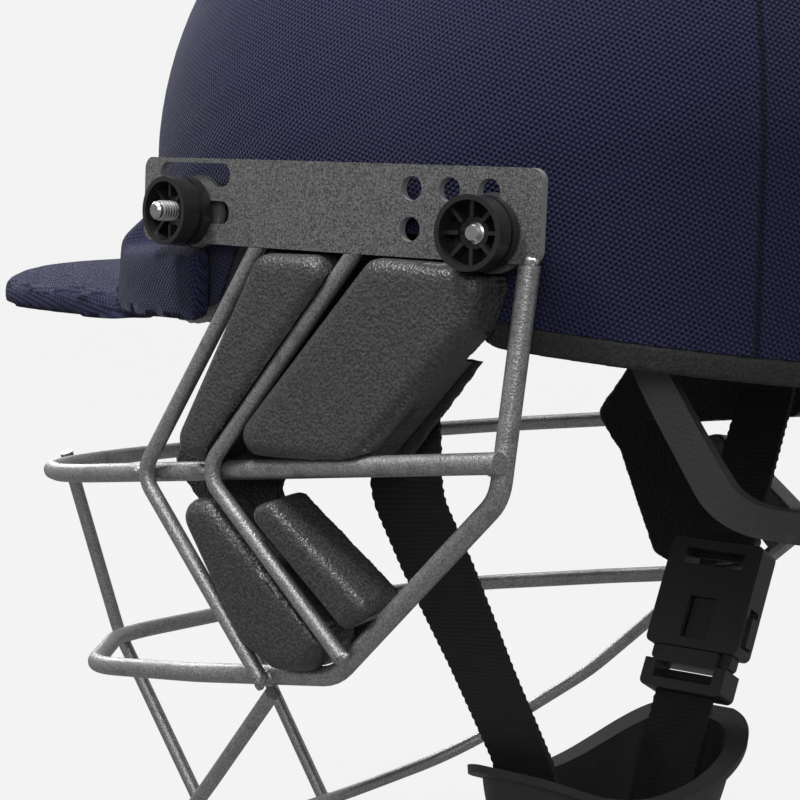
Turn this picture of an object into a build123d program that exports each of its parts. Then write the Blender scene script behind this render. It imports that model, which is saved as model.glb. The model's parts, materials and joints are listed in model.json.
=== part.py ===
from build123d import *
import math
import os

# Cricket helmet with a steel wire face guard, in millimetres.
# The origin is the middle of the head opening at rim level.
# The front faces -Y, +X is the wearer's left and +Z is up.

# General clearances
skin_gap = 0.3
weld_gap = 0.15
run_gap = 0.05
overrun = 1.0
far = 400.0

# Dome: cloth cover over a hard shell over a foam liner
half_width = 108.0
half_length = 122.5
centre_y = 2.5
crown_height = 150.0
shoulder_height = 44.0
shoulder_round = 85.0
skirt_drop = 25.0
cover_thickness = 1.0
shell_thickness = 3.0
liner_thickness = 10.0
comfort_thickness = 8.0

# Rim line, front to rear, as places along Y and heights
rim_front_y = -57.0
rim_front_z = 2.5
rim_temple_y = -38.0
rim_temple_z = 6.5
ear_front_y = -28.0
ear_rear_y = 36.0
ear_top_z = 25.0
rim_behind_ear_y = 44.0
rim_behind_ear_z = 6.0
rim_nape_y = 130.0
rim_nape_z = -5.0
rim_bend = 8.0
trim_height = 6.0
trim_start_y = 44.0
liner_lift = 16.0
brow_drop = 2.0
brow_thickness = 7.0
brow_end_y = -45.0

# Comfort pads on the liner: spans in degrees round the crown, and heights
side_pad_wing = 15.0
side_pad_low = 52.0
side_pad_high = 92.0
end_pad_span = 58.0
end_pad_low = 34.0
end_pad_high = 84.0
crown_pad_drop = 32.0

# Peak
peak_half_width = 80.0
peak_reach = 170.0
peak_crown = 8.0
peak_root_crown = 14.0
peak_edge_z = 4.5
peak_root_edge_z = 6.0
peak_root_y = -40.0
peak_thickness = 7.0
board_thickness = 3.2
board_inset = 2.0
peak_start_y = -62.0
band_side_reach = 5.0
band_front_reach = 16.0
band_outline = ((-2.0, 1.0), (9.0, 0.0), (17.0, 3.5), (17.0, 15.5), (8.0, 21.5), (-2.0, 24.5))
band_span = 150.0
band_side_x = 84.0
band_side_top = 17.5
arch_across_shares = (-1.2, -1.0, -0.75, -0.4, 0.0, 0.4, 0.75, 1.0, 1.2)
arch_up_shares = (-0.5, 0.0, 0.58, 0.92, 1.0, 0.92, 0.58, 0.0, -0.5)
peak_plan_shares = ((1.05, 0.30), (1.03, 0.65), (0.985, 0.825), (0.885, 0.935), (0.5, 0.985), (0.0, 1.0))

# Side plate of the guard
plate_length = 125.4
plate_height = 21.0
plate_thickness = 2.0
plate_corner = 3.0
plate_middle_y = -0.3
plate_middle_z = 31.0
plate_tilt = -1.6
plate_bow_radius = 420.0
plate_bow_y = 10.0
plate_face_x = 112.5
slot_length = 27.5
slot_width = 5.7
slot_middle_y = -42.6
slot_spread = 9.2
slot_rise = 1.9
hole_diameter = 5.6
hole_first_y = 28.6
hole_pitch = 10.3
hole_count = 3
hole_rise = 0.5

# Studs and hand knobs, the front stud in the lower slot and the rear one in a lower hole
stud_diameter = 5.0
front_stud_y = -43.5
front_stud_z = 29.5
front_stud_proud = 11.5
rear_stud_proud = 6.7
stud_head_radius = 6.0
stud_head_thickness = 1.4
knob_radius = 8.4
knob_height = 8.4
knob_rim = 1.2
knob_hub_radius = 3.6
knob_hub_drop = 3.2
knob_cup_depth = 6.0
knob_rib_drop = 2.0
knob_rib_width = 0.9
knob_ribs = 8
knob_groove_depth = 0.9
knob_groove_width = 1.2
knob_groove_height = 2.4
washer_radius = 9.0
washer_thickness = 1.6
foot_radius = 7.0

# Guard wires
main_wire = 5.0
thin_wire = 4.0
guard_half_width = 112.0
guard_reach = 152.0
guard_drop = 105.3
lower_slope = 0.15
upper_slope = 0.115
upper_drop = 50.0
upper_reach = 166.0
upper_plan_shares = ((0.232, 1.0), (0.661, 0.819), (0.911, 0.590), (0.955, 0.349), (1.04, -0.35))
upper_bends = (80.0, 100.0, 60.0, 50.0)
lower_plan_shares = ((0.268, 1.0), (0.795, 0.658), (0.893, 0.322), (0.929, -0.013))
lower_bends = (45.0, 40.0, 60.0, 14.0)
rear_bend_shares = (1.0, 0.362, -0.313)
rear_bend = 10.0
rear_upright_y = 59.5
strut_bend = 7.0
strut_overlap = 2.0
front_strut_top_y = -18.0
front_strut_bend_y = -57.0
front_strut_end_y = -19.0
rear_strut_top_y = 13.5
rear_strut_bend_y = -33.0
rear_strut_end_y = 9.0
upright_top_x = 44.0
upright_knee_x = 26.0
upright_bend = 12.0
upright_rise = 3.0
chin_start_y = -20.0
chin_bar_shares = ((0.821, -0.335, -1.150), (0.634, -0.586, -1.440), (0.295, -0.716, -1.545))
chin_bends = (60.0, 55.0, 40.0)

# Side padding between the guard wires and the cheek
backing_x = 99.5
backing_thickness = 2.5
backing_fold_z = -35.0
backing_foot_x = 93.0
backing_foot_z = -86.0
backing_round = 4.0
padding_reach = 60.0
padding_drop = 85.0
block_thickness = 14.0
block_corner = 5.0
slim_corner = 3.0
round_share = 0.8
wire_clearance = 0.5
backing_shares = (
    (-0.25, 0.25), (0.86, 0.22), (0.84, 0.08), (0.30, -0.36), (-0.30, -0.41), (-0.36, -0.47), (0.18, -0.75),
    (0.04, -0.90), (-0.22, -0.98), (-0.48, -0.93), (-0.76, -0.55), (-0.94, -0.41), (-0.72, -0.20))
shell_side_y = 32.0
shell_side_z = -3.5
upper_front_shares = ((-0.27, 0.232), (0.19, 0.232), (-0.53, -0.375), (-0.76, -0.375))
upper_rear_shares = ((0.31, 0.230), (0.86, 0.215), (0.80, 0.05), (0.27, -0.345), (-0.45, -0.345))
lower_front_shares = ((-0.74, -0.48), (-0.53, -0.475), (0.08, -0.83), (-0.03, -0.945), (-0.24, -0.96), (-0.42, -0.89))
lower_rear_shares = ((-0.33, -0.48), (-0.18, -0.45), (0.33, -0.725), (0.17, -0.80))

# Chin harness
anchor_y = 14.0
anchor_z = 30.0
anchor_x = 99.5
strap_width = 19.0
strap_thickness = 1.8
strap_bend = 18.0
strap_turn_z = -22.0
strap_turn_x = 90.5
left_turn_z = -38.0
left_turn_x = 95.5
pin_radius = 2.2
pin_head_radius = 4.5
pin_head_thickness = 1.4
tab_radius = 8.5
tab_thickness = 1.6
cup_half_width = 47.0
cup_half_depth = 22.0
cup_middle_y = 16.5
cup_wall = 2.4
cup_floor_z = -150.0
cup_rim_z = -114.0
cup_rim_dip = 12.5
cup_rim_rise = 14.0
cup_flange = 3.5
cup_flange_thickness = 2.2
cup_floor_share = 0.72
cup_waist_share = 0.93
cup_power = 3.0
cup_steps = 32
strap_inset = 6.0

# Side release buckle on the right strap
buckle_width = 31.0
buckle_thickness = 9.0
buckle_wall = 1.8
socket_length = 34.0
tongue_length = 13.0
buckle_start = 52.0
buckle_bar = 3.0
buckle_slot = 5.0
buckle_corner = 2.0
buckle_gap = 0.35
prong_width = 3.4
prong_length = 19.0
prong_thickness = 4.6
prong_pivot_drop = 2.4
window_length = 13.0
window_width = 9.0
thumb_length = 9.0
thumb_proud = 1.2

# Rear cradle
cradle_pivot_y = 64.0
cradle_pivot_z = 12.0
cradle_x = 82.0
cradle_band = 7.0
cradle_thickness = 2.4
cradle_eye_radius = 6.0
cradle_turn_y = 89.0
cradle_turn_z = -37.0
cradle_back_y = 104.0
cradle_back_z = -43.0
cradle_corner_x = 64.0
cradle_bend = 16.0
cradle_round = 42.0


def crown_radius():
    """Radius of the crown that runs smoothly into the round of the shoulder."""
    rise = crown_height - shoulder_height
    wide = half_width - shoulder_round
    return (wide ** 2 + rise ** 2 - shoulder_round ** 2) / (2 * (rise - shoulder_round))


def around(x, z, radius, angle):
    """Point in the XZ plane at an angle round a centre."""
    return Vector(x + radius * math.cos(angle), 0, z + radius * math.sin(angle))


def dome_line(inset):
    """Half outline of the dome, from its foot to its crown, inset from the outside of the cover."""
    foot = Vector(half_width - inset, 0, -skirt_drop)
    wide = half_width - shoulder_round
    crown_z = crown_height - crown_radius()
    meet = math.atan2(shoulder_height - crown_z, wide)
    side = [around(wide, shoulder_height, shoulder_round - inset, meet * share) for share in (0, 0.5, 1)]
    middle = (meet + math.pi / 2) / 2
    top = Vector(0, 0, crown_height - inset)
    crown = ThreePointArc(side[2], around(0, crown_z, crown_radius() - inset, middle), top)
    return foot, top, [Line(foot, side[0]), ThreePointArc(*side), crown]


def wall_outline(inset, thickness):
    """Cross-section of one wall of the dome, from its foot to its crown."""
    foot, top, edges = dome_line(inset)
    inner_foot, inner_top, inner_edges = dome_line(inset + thickness)
    return make_face(edges + inner_edges + [Line(top, inner_top), Line(foot, inner_foot)])


def plan_stretch():
    """Distance from the middle of the plan to the centre of either round end."""
    return half_length - half_width


def turned(outline, heading, span, end):
    """Turn a half outline round the plan's front end (-1) or rear end (1), centred on a heading."""
    body = revolve(Rot(0, 0, heading - span / 2) * outline, Axis.Z, span)
    return Pos(0, centre_y + end * plan_stretch(), 0) * body


def left_side(outline):
    """The straight left side of the plan between its two round ends."""
    return Pos(0, centre_y, 0) * extrude(outline, amount=plan_stretch(), dir=(0, 1, 0), both=True)


def all_round(outline):
    """Carry a half outline round the whole plan."""
    side = left_side(outline)
    return turned(outline, -90, 180, -1) + turned(outline, 90, 180, 1) + side + mirrored(side)


def dome_wall(inset, thickness):
    """Dome of one wall thickness, open below."""
    return all_round(wall_outline(inset, thickness))


def upright_oval(inset):
    """Solid prism of the dome's plan, which is the dome's own surface below the shoulder."""
    wide = half_width - inset
    plan = SlotOverall(2 * (wide + plan_stretch()), 2 * wide, rotation=90)
    return extrude(Pos(0, centre_y, 0) * plan, amount=crown_height, both=True)


def wall_x(y, inset):
    """Place across of the dome's wall, below its shoulder, at a place along Y."""
    along = max(abs(y - centre_y) - plan_stretch(), 0)
    return math.sqrt((half_width - inset) ** 2 - along ** 2)


def below_rim(lift):
    """Everything under the rim line when the line is lifted by the given height."""
    places = [
        (-far, rim_front_z), (rim_front_y, rim_front_z), (rim_temple_y, rim_temple_z),
        (ear_front_y, ear_top_z), (ear_rear_y, ear_top_z), (rim_behind_ear_y, rim_behind_ear_z),
        (rim_nape_y, rim_nape_z), (far, rim_nape_z)]
    points = [Vector(0, y, z + lift) for y, z in places]
    line = FilletPolyline(*points, radius=rim_bend)
    floor = Polyline(points[-1], (0, far, -far), (0, -far, -far), points[0])
    return extrude(make_face([line, floor]), amount=far, dir=(1, 0, 0), both=True)


def block(low, high):
    """Plain box between two corners."""
    size = [b - a for a, b in zip(low, high)]
    middle = [(a + b) / 2 for a, b in zip(low, high)]
    return Pos(*middle) * Box(*size)


def across(outline):
    """Outline in the YZ plane, drawn right through the helmet along X."""
    return extrude(outline, amount=far, dir=(1, 0, 0), both=True)


def mirrored(shape):
    """The same piece on the wearer's right."""
    return mirror(shape, about=Plane.YZ)


# Dome pieces


def make_shell():
    holes = [place * stud_hole() for place in stud_places()]
    holes += [place * pin_hole(anchor_x, anchor_y) for place in anchor_places()]
    holes += [place * pin_hole(cradle_x, cradle_pivot_y) for place in cradle_places()]
    return dome_wall(cover_thickness, shell_thickness) - ([below_rim(0)] + holes)


def make_cover():
    holes = [place * stud_hole() for place in stud_places()]
    return dome_wall(0, cover_thickness - weld_gap) - ([below_rim(0)] + holes)


def make_liner():
    inset = cover_thickness + shell_thickness + skin_gap
    holes = [place * head_pocket() for place in stud_places()]
    return dome_wall(inset, liner_thickness) - ([below_rim(liner_lift)] + holes)


def make_trim():
    trim = dome_wall(0, cover_thickness + shell_thickness) - below_rim(-trim_height)
    trim = trim & below_rim(0)
    return trim & block((-far, trim_start_y, -far), (far, far, far))


def make_brow_band():
    inset = cover_thickness + shell_thickness + skin_gap
    band = dome_wall(inset, brow_thickness) - below_rim(-brow_drop)
    band = band & below_rim(liner_lift - skin_gap)
    return band & block((-far, -far, -far), (far, brow_end_y, far))


def comfort_outline(low, high):
    """Cross-section of the padding inside the liner, between two heights."""
    inset = cover_thickness + shell_thickness + liner_thickness + 2 * skin_gap
    window = Plane.XZ * Pos(half_width / 2, (low + high) / 2) * Rectangle(half_width, high - low)
    return wall_outline(inset, comfort_thickness) & window


def make_comfort_pads():
    end_outline = comfort_outline(end_pad_low, end_pad_high)
    outline = comfort_outline(side_pad_low, side_pad_high)
    left = left_side(outline)
    for end in (-1, 1):
        left = left + turned(outline, end * side_pad_wing / 2, side_pad_wing, end)
    return {
        "comfort_pad_front": turned(end_outline, -90, end_pad_span, -1),
        "comfort_pad_rear": turned(end_outline, 90, end_pad_span, 1),
        "comfort_pad_left": left,
        "comfort_pad_right": mirrored(left),
        "comfort_pad_crown": all_round(comfort_outline(crown_height - crown_pad_drop, crown_height))}


# Peak


def arch_face(y, edge_z, crown, thickness):
    """Arched cross-section of the peak at one place along Y."""
    top = []
    low = []
    for share_x, share_z in zip(arch_across_shares, arch_up_shares):
        x = peak_half_width * share_x
        z = edge_z + crown * share_z
        top.append(Vector(x, y, z))
        low.append(Vector(x, y, z - thickness))
    ends = [Line(top[-1], low[-1]), Line(low[0], top[0])]
    return make_face([Spline(*top), Spline(*low)] + ends)


def arched_slab(drop, thickness):
    """Arched sheet from the brow to beyond the peak's tip, its top lowered by the drop."""
    root = arch_face(peak_root_y, peak_root_edge_z - drop, peak_root_crown, thickness)
    tip = arch_face(-peak_reach - peak_thickness, peak_edge_z - drop, peak_crown, thickness)
    return loft([root, tip])


def peak_plan(inset):
    """Plan outline of the peak as an upright prism, drawn in by the inset."""
    wide = peak_half_width - inset
    reach = peak_reach - inset
    half = [Vector(wide * x, -reach * y, 0) for x, y in peak_plan_shares]
    points = half + [Vector(-p.X, p.Y, 0) for p in reversed(half[:-1])]
    face = make_face([Spline(*points), Line(points[-1], points[0])])
    prism = extrude(face, amount=far, both=True)
    return prism & block((-far, -far, -far), (far, peak_start_y + inset, far))


def make_root_band():
    """Padded roll round the brow, which stands out most in front and dies away under the side plates."""
    points = [(half_width + reach, z) for reach, z in band_outline]
    outline = Plane.XZ * make_face([Polyline(*points, close=True)])
    roll = turned(outline, -90, band_span, -1)
    plan = Ellipse(half_width + band_side_reach, half_width + band_front_reach)
    roll = roll & extrude(Pos(0, centre_y - plan_stretch(), 0) * plan, amount=far, both=True)
    for side in (-1, 1):
        corner = (side * band_side_x, -far, band_side_top)
        other = (side * far, far, far)
        low = [min(a, b) for a, b in zip(corner, other)]
        high = [max(a, b) for a, b in zip(corner, other)]
        roll = roll - block(low, high)
    return roll


def make_peak():
    outside = upright_oval(-skin_gap)
    body = (arched_slab(0, peak_thickness) & peak_plan(0)) - outside
    skin = (peak_thickness - board_thickness) / 2
    cavity = arched_slab(skin - weld_gap, board_thickness + 2 * weld_gap) & peak_plan(board_inset - weld_gap)
    board = (arched_slab(skin, board_thickness) & peak_plan(board_inset)) - upright_oval(-skin)
    roll = make_root_band()
    room = arched_slab(-weld_gap, peak_thickness + 2 * weld_gap) & peak_plan(-weld_gap)
    return {
        "peak_cover": body - cavity,
        "peak_board": board,
        "peak_root_band": roll - outside - room}


# Side plates, studs and knobs


def plate_x(y):
    """Outer face of the left plate at a place along Y."""
    return plate_face_x - plate_bow_radius + math.sqrt(plate_bow_radius ** 2 - (y - plate_bow_y) ** 2)


def plate_low(y):
    """Lower edge of the plate at a place along Y."""
    slope = math.tan(math.radians(plate_tilt))
    return plate_middle_z - plate_height / 2 + slope * (y - plate_middle_y)


def on_plate(along, up):
    """Place in the YZ plane measured along and across the tilted plate from its middle."""
    return Pos(0, plate_middle_y, plate_middle_z) * Rot(plate_tilt, 0, 0) * Pos(0, along, up)


def make_plate():
    frame = Plane.YZ
    blank = frame * RectangleRounded(plate_length, plate_height, plate_corner)
    plate = on_plate(0, 0) * across(blank)
    axis = Pos(plate_face_x - plate_bow_radius, plate_bow_y, plate_middle_z)
    tall = plate_height * 2
    bow = Cylinder(plate_bow_radius, tall) - Cylinder(plate_bow_radius - plate_thickness, tall)
    plate = plate & (axis * bow)
    plate = plate & block((0, -far, -far), (far, far, far))
    for row in (-1, 1):
        slot = frame * SlotOverall(slot_length, slot_width)
        plate = plate - on_plate(slot_middle_y - plate_middle_y, row * slot_spread / 2 + slot_rise) * across(slot)
        for index in range(hole_count):
            plate = plate - hole_place(row, index) * across(frame * Circle(hole_diameter / 2))
    return plate


def hole_place(row, index):
    """Place of a hole in the plate's lower (-1) or upper (1) row, counted from the front."""
    return on_plate(hole_first_y + hole_pitch * index - plate_middle_y, row * slot_spread / 2 + hole_rise)


def on_bow(y, z):
    """Place on the left plate's outer face, with local X pointing straight out of it."""
    lean = math.degrees(math.asin((y - plate_bow_y) / plate_bow_radius))
    return Pos(plate_x(y), y, z) * Rot(0, 0, lean)


def left_studs():
    rear = hole_place(-1, hole_count - 1).position
    return [on_bow(front_stud_y, front_stud_z), on_bow(rear.Y, rear.Z)]


def stud_places():
    """Places of all four studs, the right ones turned to point out of the right side."""
    places = left_studs()
    for place in left_studs():
        spot = place.position
        lean = place.orientation.Z
        places.append(Pos(-spot.X, spot.Y, spot.Z) * Rot(0, 0, 180 - lean))
    return places


def rod(radius, start, end):
    """Round bar along local X between two places."""
    return Pos((start + end) / 2, 0, 0) * Rot(0, 90, 0) * Cylinder(radius, end - start)


def wall_depth(place, inset):
    """How far behind a plate place, along its stud, the dome of that inset lies."""
    near = 0
    deep = half_width
    for _ in range(40):
        middle = (near + deep) / 2
        spot = (place * Pos(-middle, 0, 0)).position
        if spot.X > wall_x(spot.Y, inset):
            near = middle
        else:
            deep = middle
    return near


def seat_depth(place):
    """Depth behind the plate where a stud's flat head clears the curved inside of the shell."""
    inset = cover_thickness + shell_thickness
    return max(wall_depth(place * Pos(0, side * stud_head_radius, 0), inset) for side in (-1, 1)) + run_gap


def deepest_seat():
    return max(seat_depth(place) for place in left_studs())


def stud_hole():
    return rod(stud_diameter / 2 + run_gap * 2, -deepest_seat() - overrun, 0)


def head_pocket():
    """Room in the liner for a stud's head."""
    return rod(stud_head_radius + skin_gap, -deepest_seat() - stud_head_thickness - skin_gap, 0)


def make_stud(place, proud):
    """Threaded stud whose head sits inside the shell, standing out of the plate."""
    seat = -seat_depth(place)
    shank = rod(stud_diameter / 2, seat, proud)
    point = shank.edges().filter_by(GeomType.CIRCLE).sort_by(Axis.X)[-1]
    shank = chamfer(point, stud_diameter / 10)
    head = rod(stud_head_radius, seat - stud_head_thickness, seat)
    return shank + head


def make_foot(place):
    """Plastic foot that fills the space between the cover and the washer."""
    back = -wall_depth(place, 0) - foot_radius
    front = -plate_thickness - washer_thickness - 2 * weld_gap
    foot = rod(foot_radius, back, front) - rod(stud_diameter / 2 + run_gap, back, front)
    return place * foot - upright_oval(-weld_gap)


def make_washer():
    back = -plate_thickness - washer_thickness - weld_gap
    front = -plate_thickness - weld_gap
    return rod(washer_radius, back, front) - rod(stud_diameter / 2 + run_gap, back, front)


def make_knob():
    """Ribbed hand nut: grooved skirt, open cup and a hub round the stud."""
    base = skin_gap
    face = base + knob_height
    knob = rod(knob_radius, base, face)
    groove_start = base + knob_groove_height
    groove = rod(knob_radius + overrun, groove_start, groove_start + knob_groove_width)
    core = rod(knob_radius - knob_groove_depth, groove_start, groove_start + knob_groove_width)
    knob = knob - (groove - core)
    floor = face - knob_cup_depth
    cup = rod(knob_radius - knob_rim, floor, face + overrun) - rod(knob_hub_radius, floor, face - knob_hub_drop)
    for index in range(knob_ribs):
        rib_face = face - knob_rib_drop
        rib_reach = knob_radius - knob_rim + weld_gap
        rib = block((floor, knob_hub_radius - weld_gap, -knob_rib_width / 2), (rib_face, rib_reach, knob_rib_width / 2))
        cup = cup - Rot(360 * index / knob_ribs, 0, 0) * rib
    knob = knob - cup
    return knob - rod(stud_diameter / 2 + run_gap, 0, face + overrun)


# Guard wires


def wire(path, diameter):
    """Round wire along a path."""
    start = Plane(origin=path @ 0, z_dir=path % 0)
    return sweep(start * Circle(diameter / 2), path=path)


def lower_z(y):
    return -guard_drop + lower_slope * (y + guard_reach)


def upper_z(y):
    return -upper_drop + upper_slope * (y + upper_reach)


def both_sides(half):
    """Left points from the plate to the front, then the same points on the right in reverse."""
    return half + [Vector(-p.X, p.Y, p.Z) for p in reversed(half)]


def lower_path():
    """Perimeter wire: left upright, left diagonal, lower loop, and the same on the right."""
    loop = []
    for x, y in lower_plan_shares:
        place_y = -guard_reach * y
        loop.append(Vector(guard_half_width * x, place_y, lower_z(place_y)))
    middle_x = plate_x(rear_upright_y) - plate_thickness / 2
    top = Vector(middle_x, rear_upright_y, plate_low(rear_upright_y) + strut_overlap)
    wide, back, down = rear_bend_shares
    turn = Vector(guard_half_width * wide, guard_reach * back, guard_drop * down)
    half = [top, turn] + list(reversed(loop))
    bends = [rear_bend] + list(reversed(lower_bends))
    return FilletPolyline(*both_sides(half), radius=bends + list(reversed(bends)))


def upper_path():
    """Upper loop from one open rear end round the front to the other."""
    half = []
    for x, y in reversed(upper_plan_shares):
        place_y = -upper_reach * y
        half.append(Vector(guard_half_width * x, place_y, upper_z(place_y)))
    bends = list(reversed(upper_bends))
    return FilletPolyline(*both_sides(half), radius=bends + list(reversed(bends)))


def share_at(path, axis, value, start, end):
    """Share of a path's length, between two shares, where a coordinate takes a value."""
    rising = tuple(path @ end)[axis] > tuple(path @ start)[axis]
    for _ in range(30):
        middle = (start + end) / 2
        if (tuple(path @ middle)[axis] < value) == rising:
            start = middle
        else:
            end = middle
    return (start + end) / 2


def beside(path, share, reach):
    """Point beside a path, straight out and level, away from the helmet's middle."""
    spot = path @ share
    along = path % share
    out = Vector(along.Y, -along.X, 0).normalized()
    if out.X * spot.X + out.Y * spot.Y < 0:
        out = out * -1
    return spot + out * reach


def above_plate_edge():
    """Everything over a line a weld's gap below the lower edges of the side plates."""
    return on_plate(0, -plate_height / 2 - weld_gap) * block((-far, -far, 0), (far, far, far))


def make_guard():
    lower = lower_path()
    upper = upper_path()
    touch = (main_wire + thin_wire) / 2 + weld_gap
    side_x = plate_thickness / 2

    front_top = Vector(plate_x(front_strut_top_y) - side_x, front_strut_top_y,
                       plate_low(front_strut_top_y) + strut_overlap)
    front_turn = beside(upper, share_at(upper, 1, front_strut_bend_y, 0, 0.3), touch)
    front_end = beside(lower, share_at(lower, 1, front_strut_end_y, 0.22, 0.4), touch)
    front_strut = FilletPolyline(front_top, front_turn, front_end, radius=strut_bend)

    rear_top = Vector(plate_x(rear_strut_top_y) - side_x, rear_strut_top_y,
                      plate_low(rear_strut_top_y) + strut_overlap)
    rear_turn = beside(upper, share_at(upper, 1, rear_strut_bend_y, 0, 0.3), touch)
    rear_end = beside(lower, share_at(lower, 1, rear_strut_end_y, 0.08, 0.24), touch)
    rear_strut = FilletPolyline(rear_top, rear_turn, rear_end, radius=strut_bend)

    chin_start = lower @ share_at(lower, 1, chin_start_y, 0.22, 0.4)
    chin_half = [chin_start - Vector(0, 0, touch)]
    for x, y, z in chin_bar_shares:
        chin_half.append(Vector(guard_half_width * x, guard_reach * y, guard_drop * z))
    bends = list(chin_bends)
    chin = FilletPolyline(*both_sides(chin_half), radius=bends + list(reversed(bends)))

    upright_top = beside(upper, share_at(upper, 0, upright_top_x, 0.3, 0.5), touch)
    upright_top = upright_top + Vector(0, 0, upright_rise)
    upright_knee = beside(lower, share_at(lower, 0, upright_knee_x, 0.35, 0.5), touch)
    upright_foot = chin @ share_at(chin, 0, upright_knee_x, 0.3, 0.5)
    reach = thin_wire + weld_gap
    upright_foot = upright_foot + Vector(0, -reach, 0)
    upright = FilletPolyline(upright_top, upright_knee, upright_foot, radius=upright_bend)

    above = above_plate_edge()
    around_lower = wire(lower, main_wire + 2 * weld_gap)
    around_upper = wire(upper, main_wire + 2 * weld_gap)
    wires = {
        "guard_lower_loop": wire(lower, main_wire) - above,
        "guard_upper_loop": wire(upper, main_wire) - around_lower,
        "guard_chin_bar": wire(chin, thin_wire) - around_lower}
    pairs = {"guard_front_strut": front_strut, "guard_rear_strut": rear_strut, "guard_upright": upright}
    for name, path in pairs.items():
        piece = wire(path, thin_wire) - [above, around_lower, around_upper]
        wires[name + "_left"] = piece
        wires[name + "_right"] = mirrored(piece)
    room = {}
    for name, path in (("front_strut", front_strut), ("rear_strut", rear_strut)):
        room[name] = wire(path, thin_wire + 2 * wire_clearance)
    room["upper"] = wire(upper, main_wire + 2 * wire_clearance)
    room["lower"] = wire(lower, main_wire + 2 * wire_clearance)
    return wires, room


# Side padding


def side_outline(shares, corner):
    """Closed outline on the side of the helmet, in the YZ plane, with rounded corners."""
    points = [Vector(0, padding_reach * y, padding_drop * z) for y, z in shares]
    face = make_face([Polyline(*points, close=True)])
    return fillet(face.vertices(), corner)


def fold_line(offset):
    """Line down the side padding, seen from the front: upright, then drawn in below the fold."""
    top = Vector(backing_x + offset, 0, ear_top_z)
    fold = Vector(backing_x + offset, 0, backing_fold_z)
    foot = Vector(backing_foot_x + offset, 0, backing_foot_z)
    return top, fold, foot


def make_backing():
    inner = Polyline(*fold_line(0))
    outer = Polyline(*reversed(fold_line(backing_thickness)))
    ends = [Line(inner @ 1, outer @ 0), Line(outer @ 1, inner @ 0)]
    sheet = extrude(make_face([inner, outer] + ends), amount=far, dir=(0, 1, 0), both=True)
    return sheet & across(side_outline(backing_shares, backing_round))


def make_block(shares, corner, lower):
    """Moulded foam block with a rounded crown, upright or leaning in with the lower backing."""
    seat = backing_x + backing_thickness + skin_gap
    outline = side_outline(shares, corner)
    pad = Pos(seat, 0, 0) * extrude(outline, amount=block_thickness, dir=(1, 0, 0))
    pad = fillet(pad.faces().sort_by(Axis.X)[-1].edges(), corner * round_share)
    if not lower:
        return pad
    lean = math.degrees(math.atan2(backing_x - backing_foot_x, backing_fold_z - backing_foot_z))
    return Pos(seat, 0, backing_fold_z) * Rot(0, lean, 0) * Pos(-seat, 0, -backing_fold_z) * pad


def make_padding(room):
    blocks = {
        "padding_upper_front": (upper_front_shares, block_corner, False),
        "padding_upper_rear": (upper_rear_shares, block_corner, False),
        "padding_lower_front": (lower_front_shares, block_corner, True),
        "padding_lower_rear": (lower_rear_shares, slim_corner, True)}
    pieces = {"padding_backing": make_backing()}
    beside_shell = block((0, shell_side_y, shell_side_z), (far, far, far))
    shell = upright_oval(-wire_clearance) & beside_shell
    washers = [place * rod(washer_radius + wire_clearance, -far / 8, far / 8) for place in left_studs()]
    cutters = list(room.values()) + [shell] + washers
    pieces["padding_backing"] = pieces["padding_backing"] - shell
    for name, (shares, corner, lower) in blocks.items():
        pad = make_block(shares, corner, lower) - cutters
        pieces[name] = max(pad.solids(), key=lambda solid: solid.volume)
    both = {}
    for name, piece in pieces.items():
        both[name + "_left"] = piece
        both[name + "_right"] = mirrored(piece)
    return both


# Chin harness


def side_places(x, y, z):
    """Places on both sides with local X pointing outwards."""
    return [Pos(x, y, z), Pos(-x, y, z) * Rot(0, 0, 180)]


def anchor_places():
    return side_places(anchor_x, anchor_y, anchor_z)


def cradle_places():
    return side_places(cradle_x, cradle_pivot_y, cradle_pivot_z)


def shell_reach(x, y):
    """Distance from a pin's place out to the middle of the hard shell's wall."""
    return wall_x(y, cover_thickness + shell_thickness / 2) - x


def pin_hole(x, y):
    return rod(pin_radius + run_gap, 0, shell_reach(x, y))


def make_pin(x, y, thickness):
    """Rivet with its head inside, through the moving piece and into the shell."""
    head = rod(pin_head_radius, -thickness - pin_head_thickness - weld_gap, -thickness - weld_gap)
    return head + rod(pin_radius, -thickness - weld_gap, shell_reach(x, y) - weld_gap)


def strap_line(turn_x, turn_z):
    """Middle of a strap of webbing, seen from the front, from the anchor to the cup's floor."""
    middle = anchor_x - tab_thickness - strap_thickness / 2
    top = Vector(middle, 0, anchor_z - pin_head_radius - skin_gap)
    turn = Vector(turn_x - tab_thickness - strap_thickness / 2, 0, turn_z)
    rim = Vector(cup_half_width - strap_inset, 0, cup_rim_z)
    floor_x = cup_half_width * cup_floor_share - strap_inset
    floor = Vector(floor_x, 0, cup_floor_z + cup_wall + strap_thickness / 2 + skin_gap)
    return top, turn, rim, floor


def webbing(points):
    """Flat webbing along a line in the XZ plane."""
    path = FilletPolyline(*[p + Vector(0, anchor_y, 0) for p in points], radius=strap_bend)
    start = Plane(origin=path @ 0, x_dir=(0, 1, 0), z_dir=path % 0)
    return sweep(start * Rectangle(strap_width, strap_thickness), path=path)


def make_tab():
    """Moulded tab that carries the webbing and turns on its pin."""
    plate = rod(tab_radius, -tab_thickness, 0)
    return plate - rod(pin_radius + run_gap, -tab_thickness, 0)


def cup_section(wide, deep, z):
    """Rounded plan outline of the chin cup at one height."""
    points = []
    for step in range(cup_steps):
        angle = 2 * math.pi * step / cup_steps
        cos = math.cos(angle)
        sin = math.sin(angle)
        x = math.copysign(abs(cos) ** (2 / cup_power), cos)
        y = math.copysign(abs(sin) ** (2 / cup_power), sin)
        points.append(Vector(wide * x, deep * y + cup_middle_y, z))
    return make_face([Spline(*points, periodic=True)])


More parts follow.
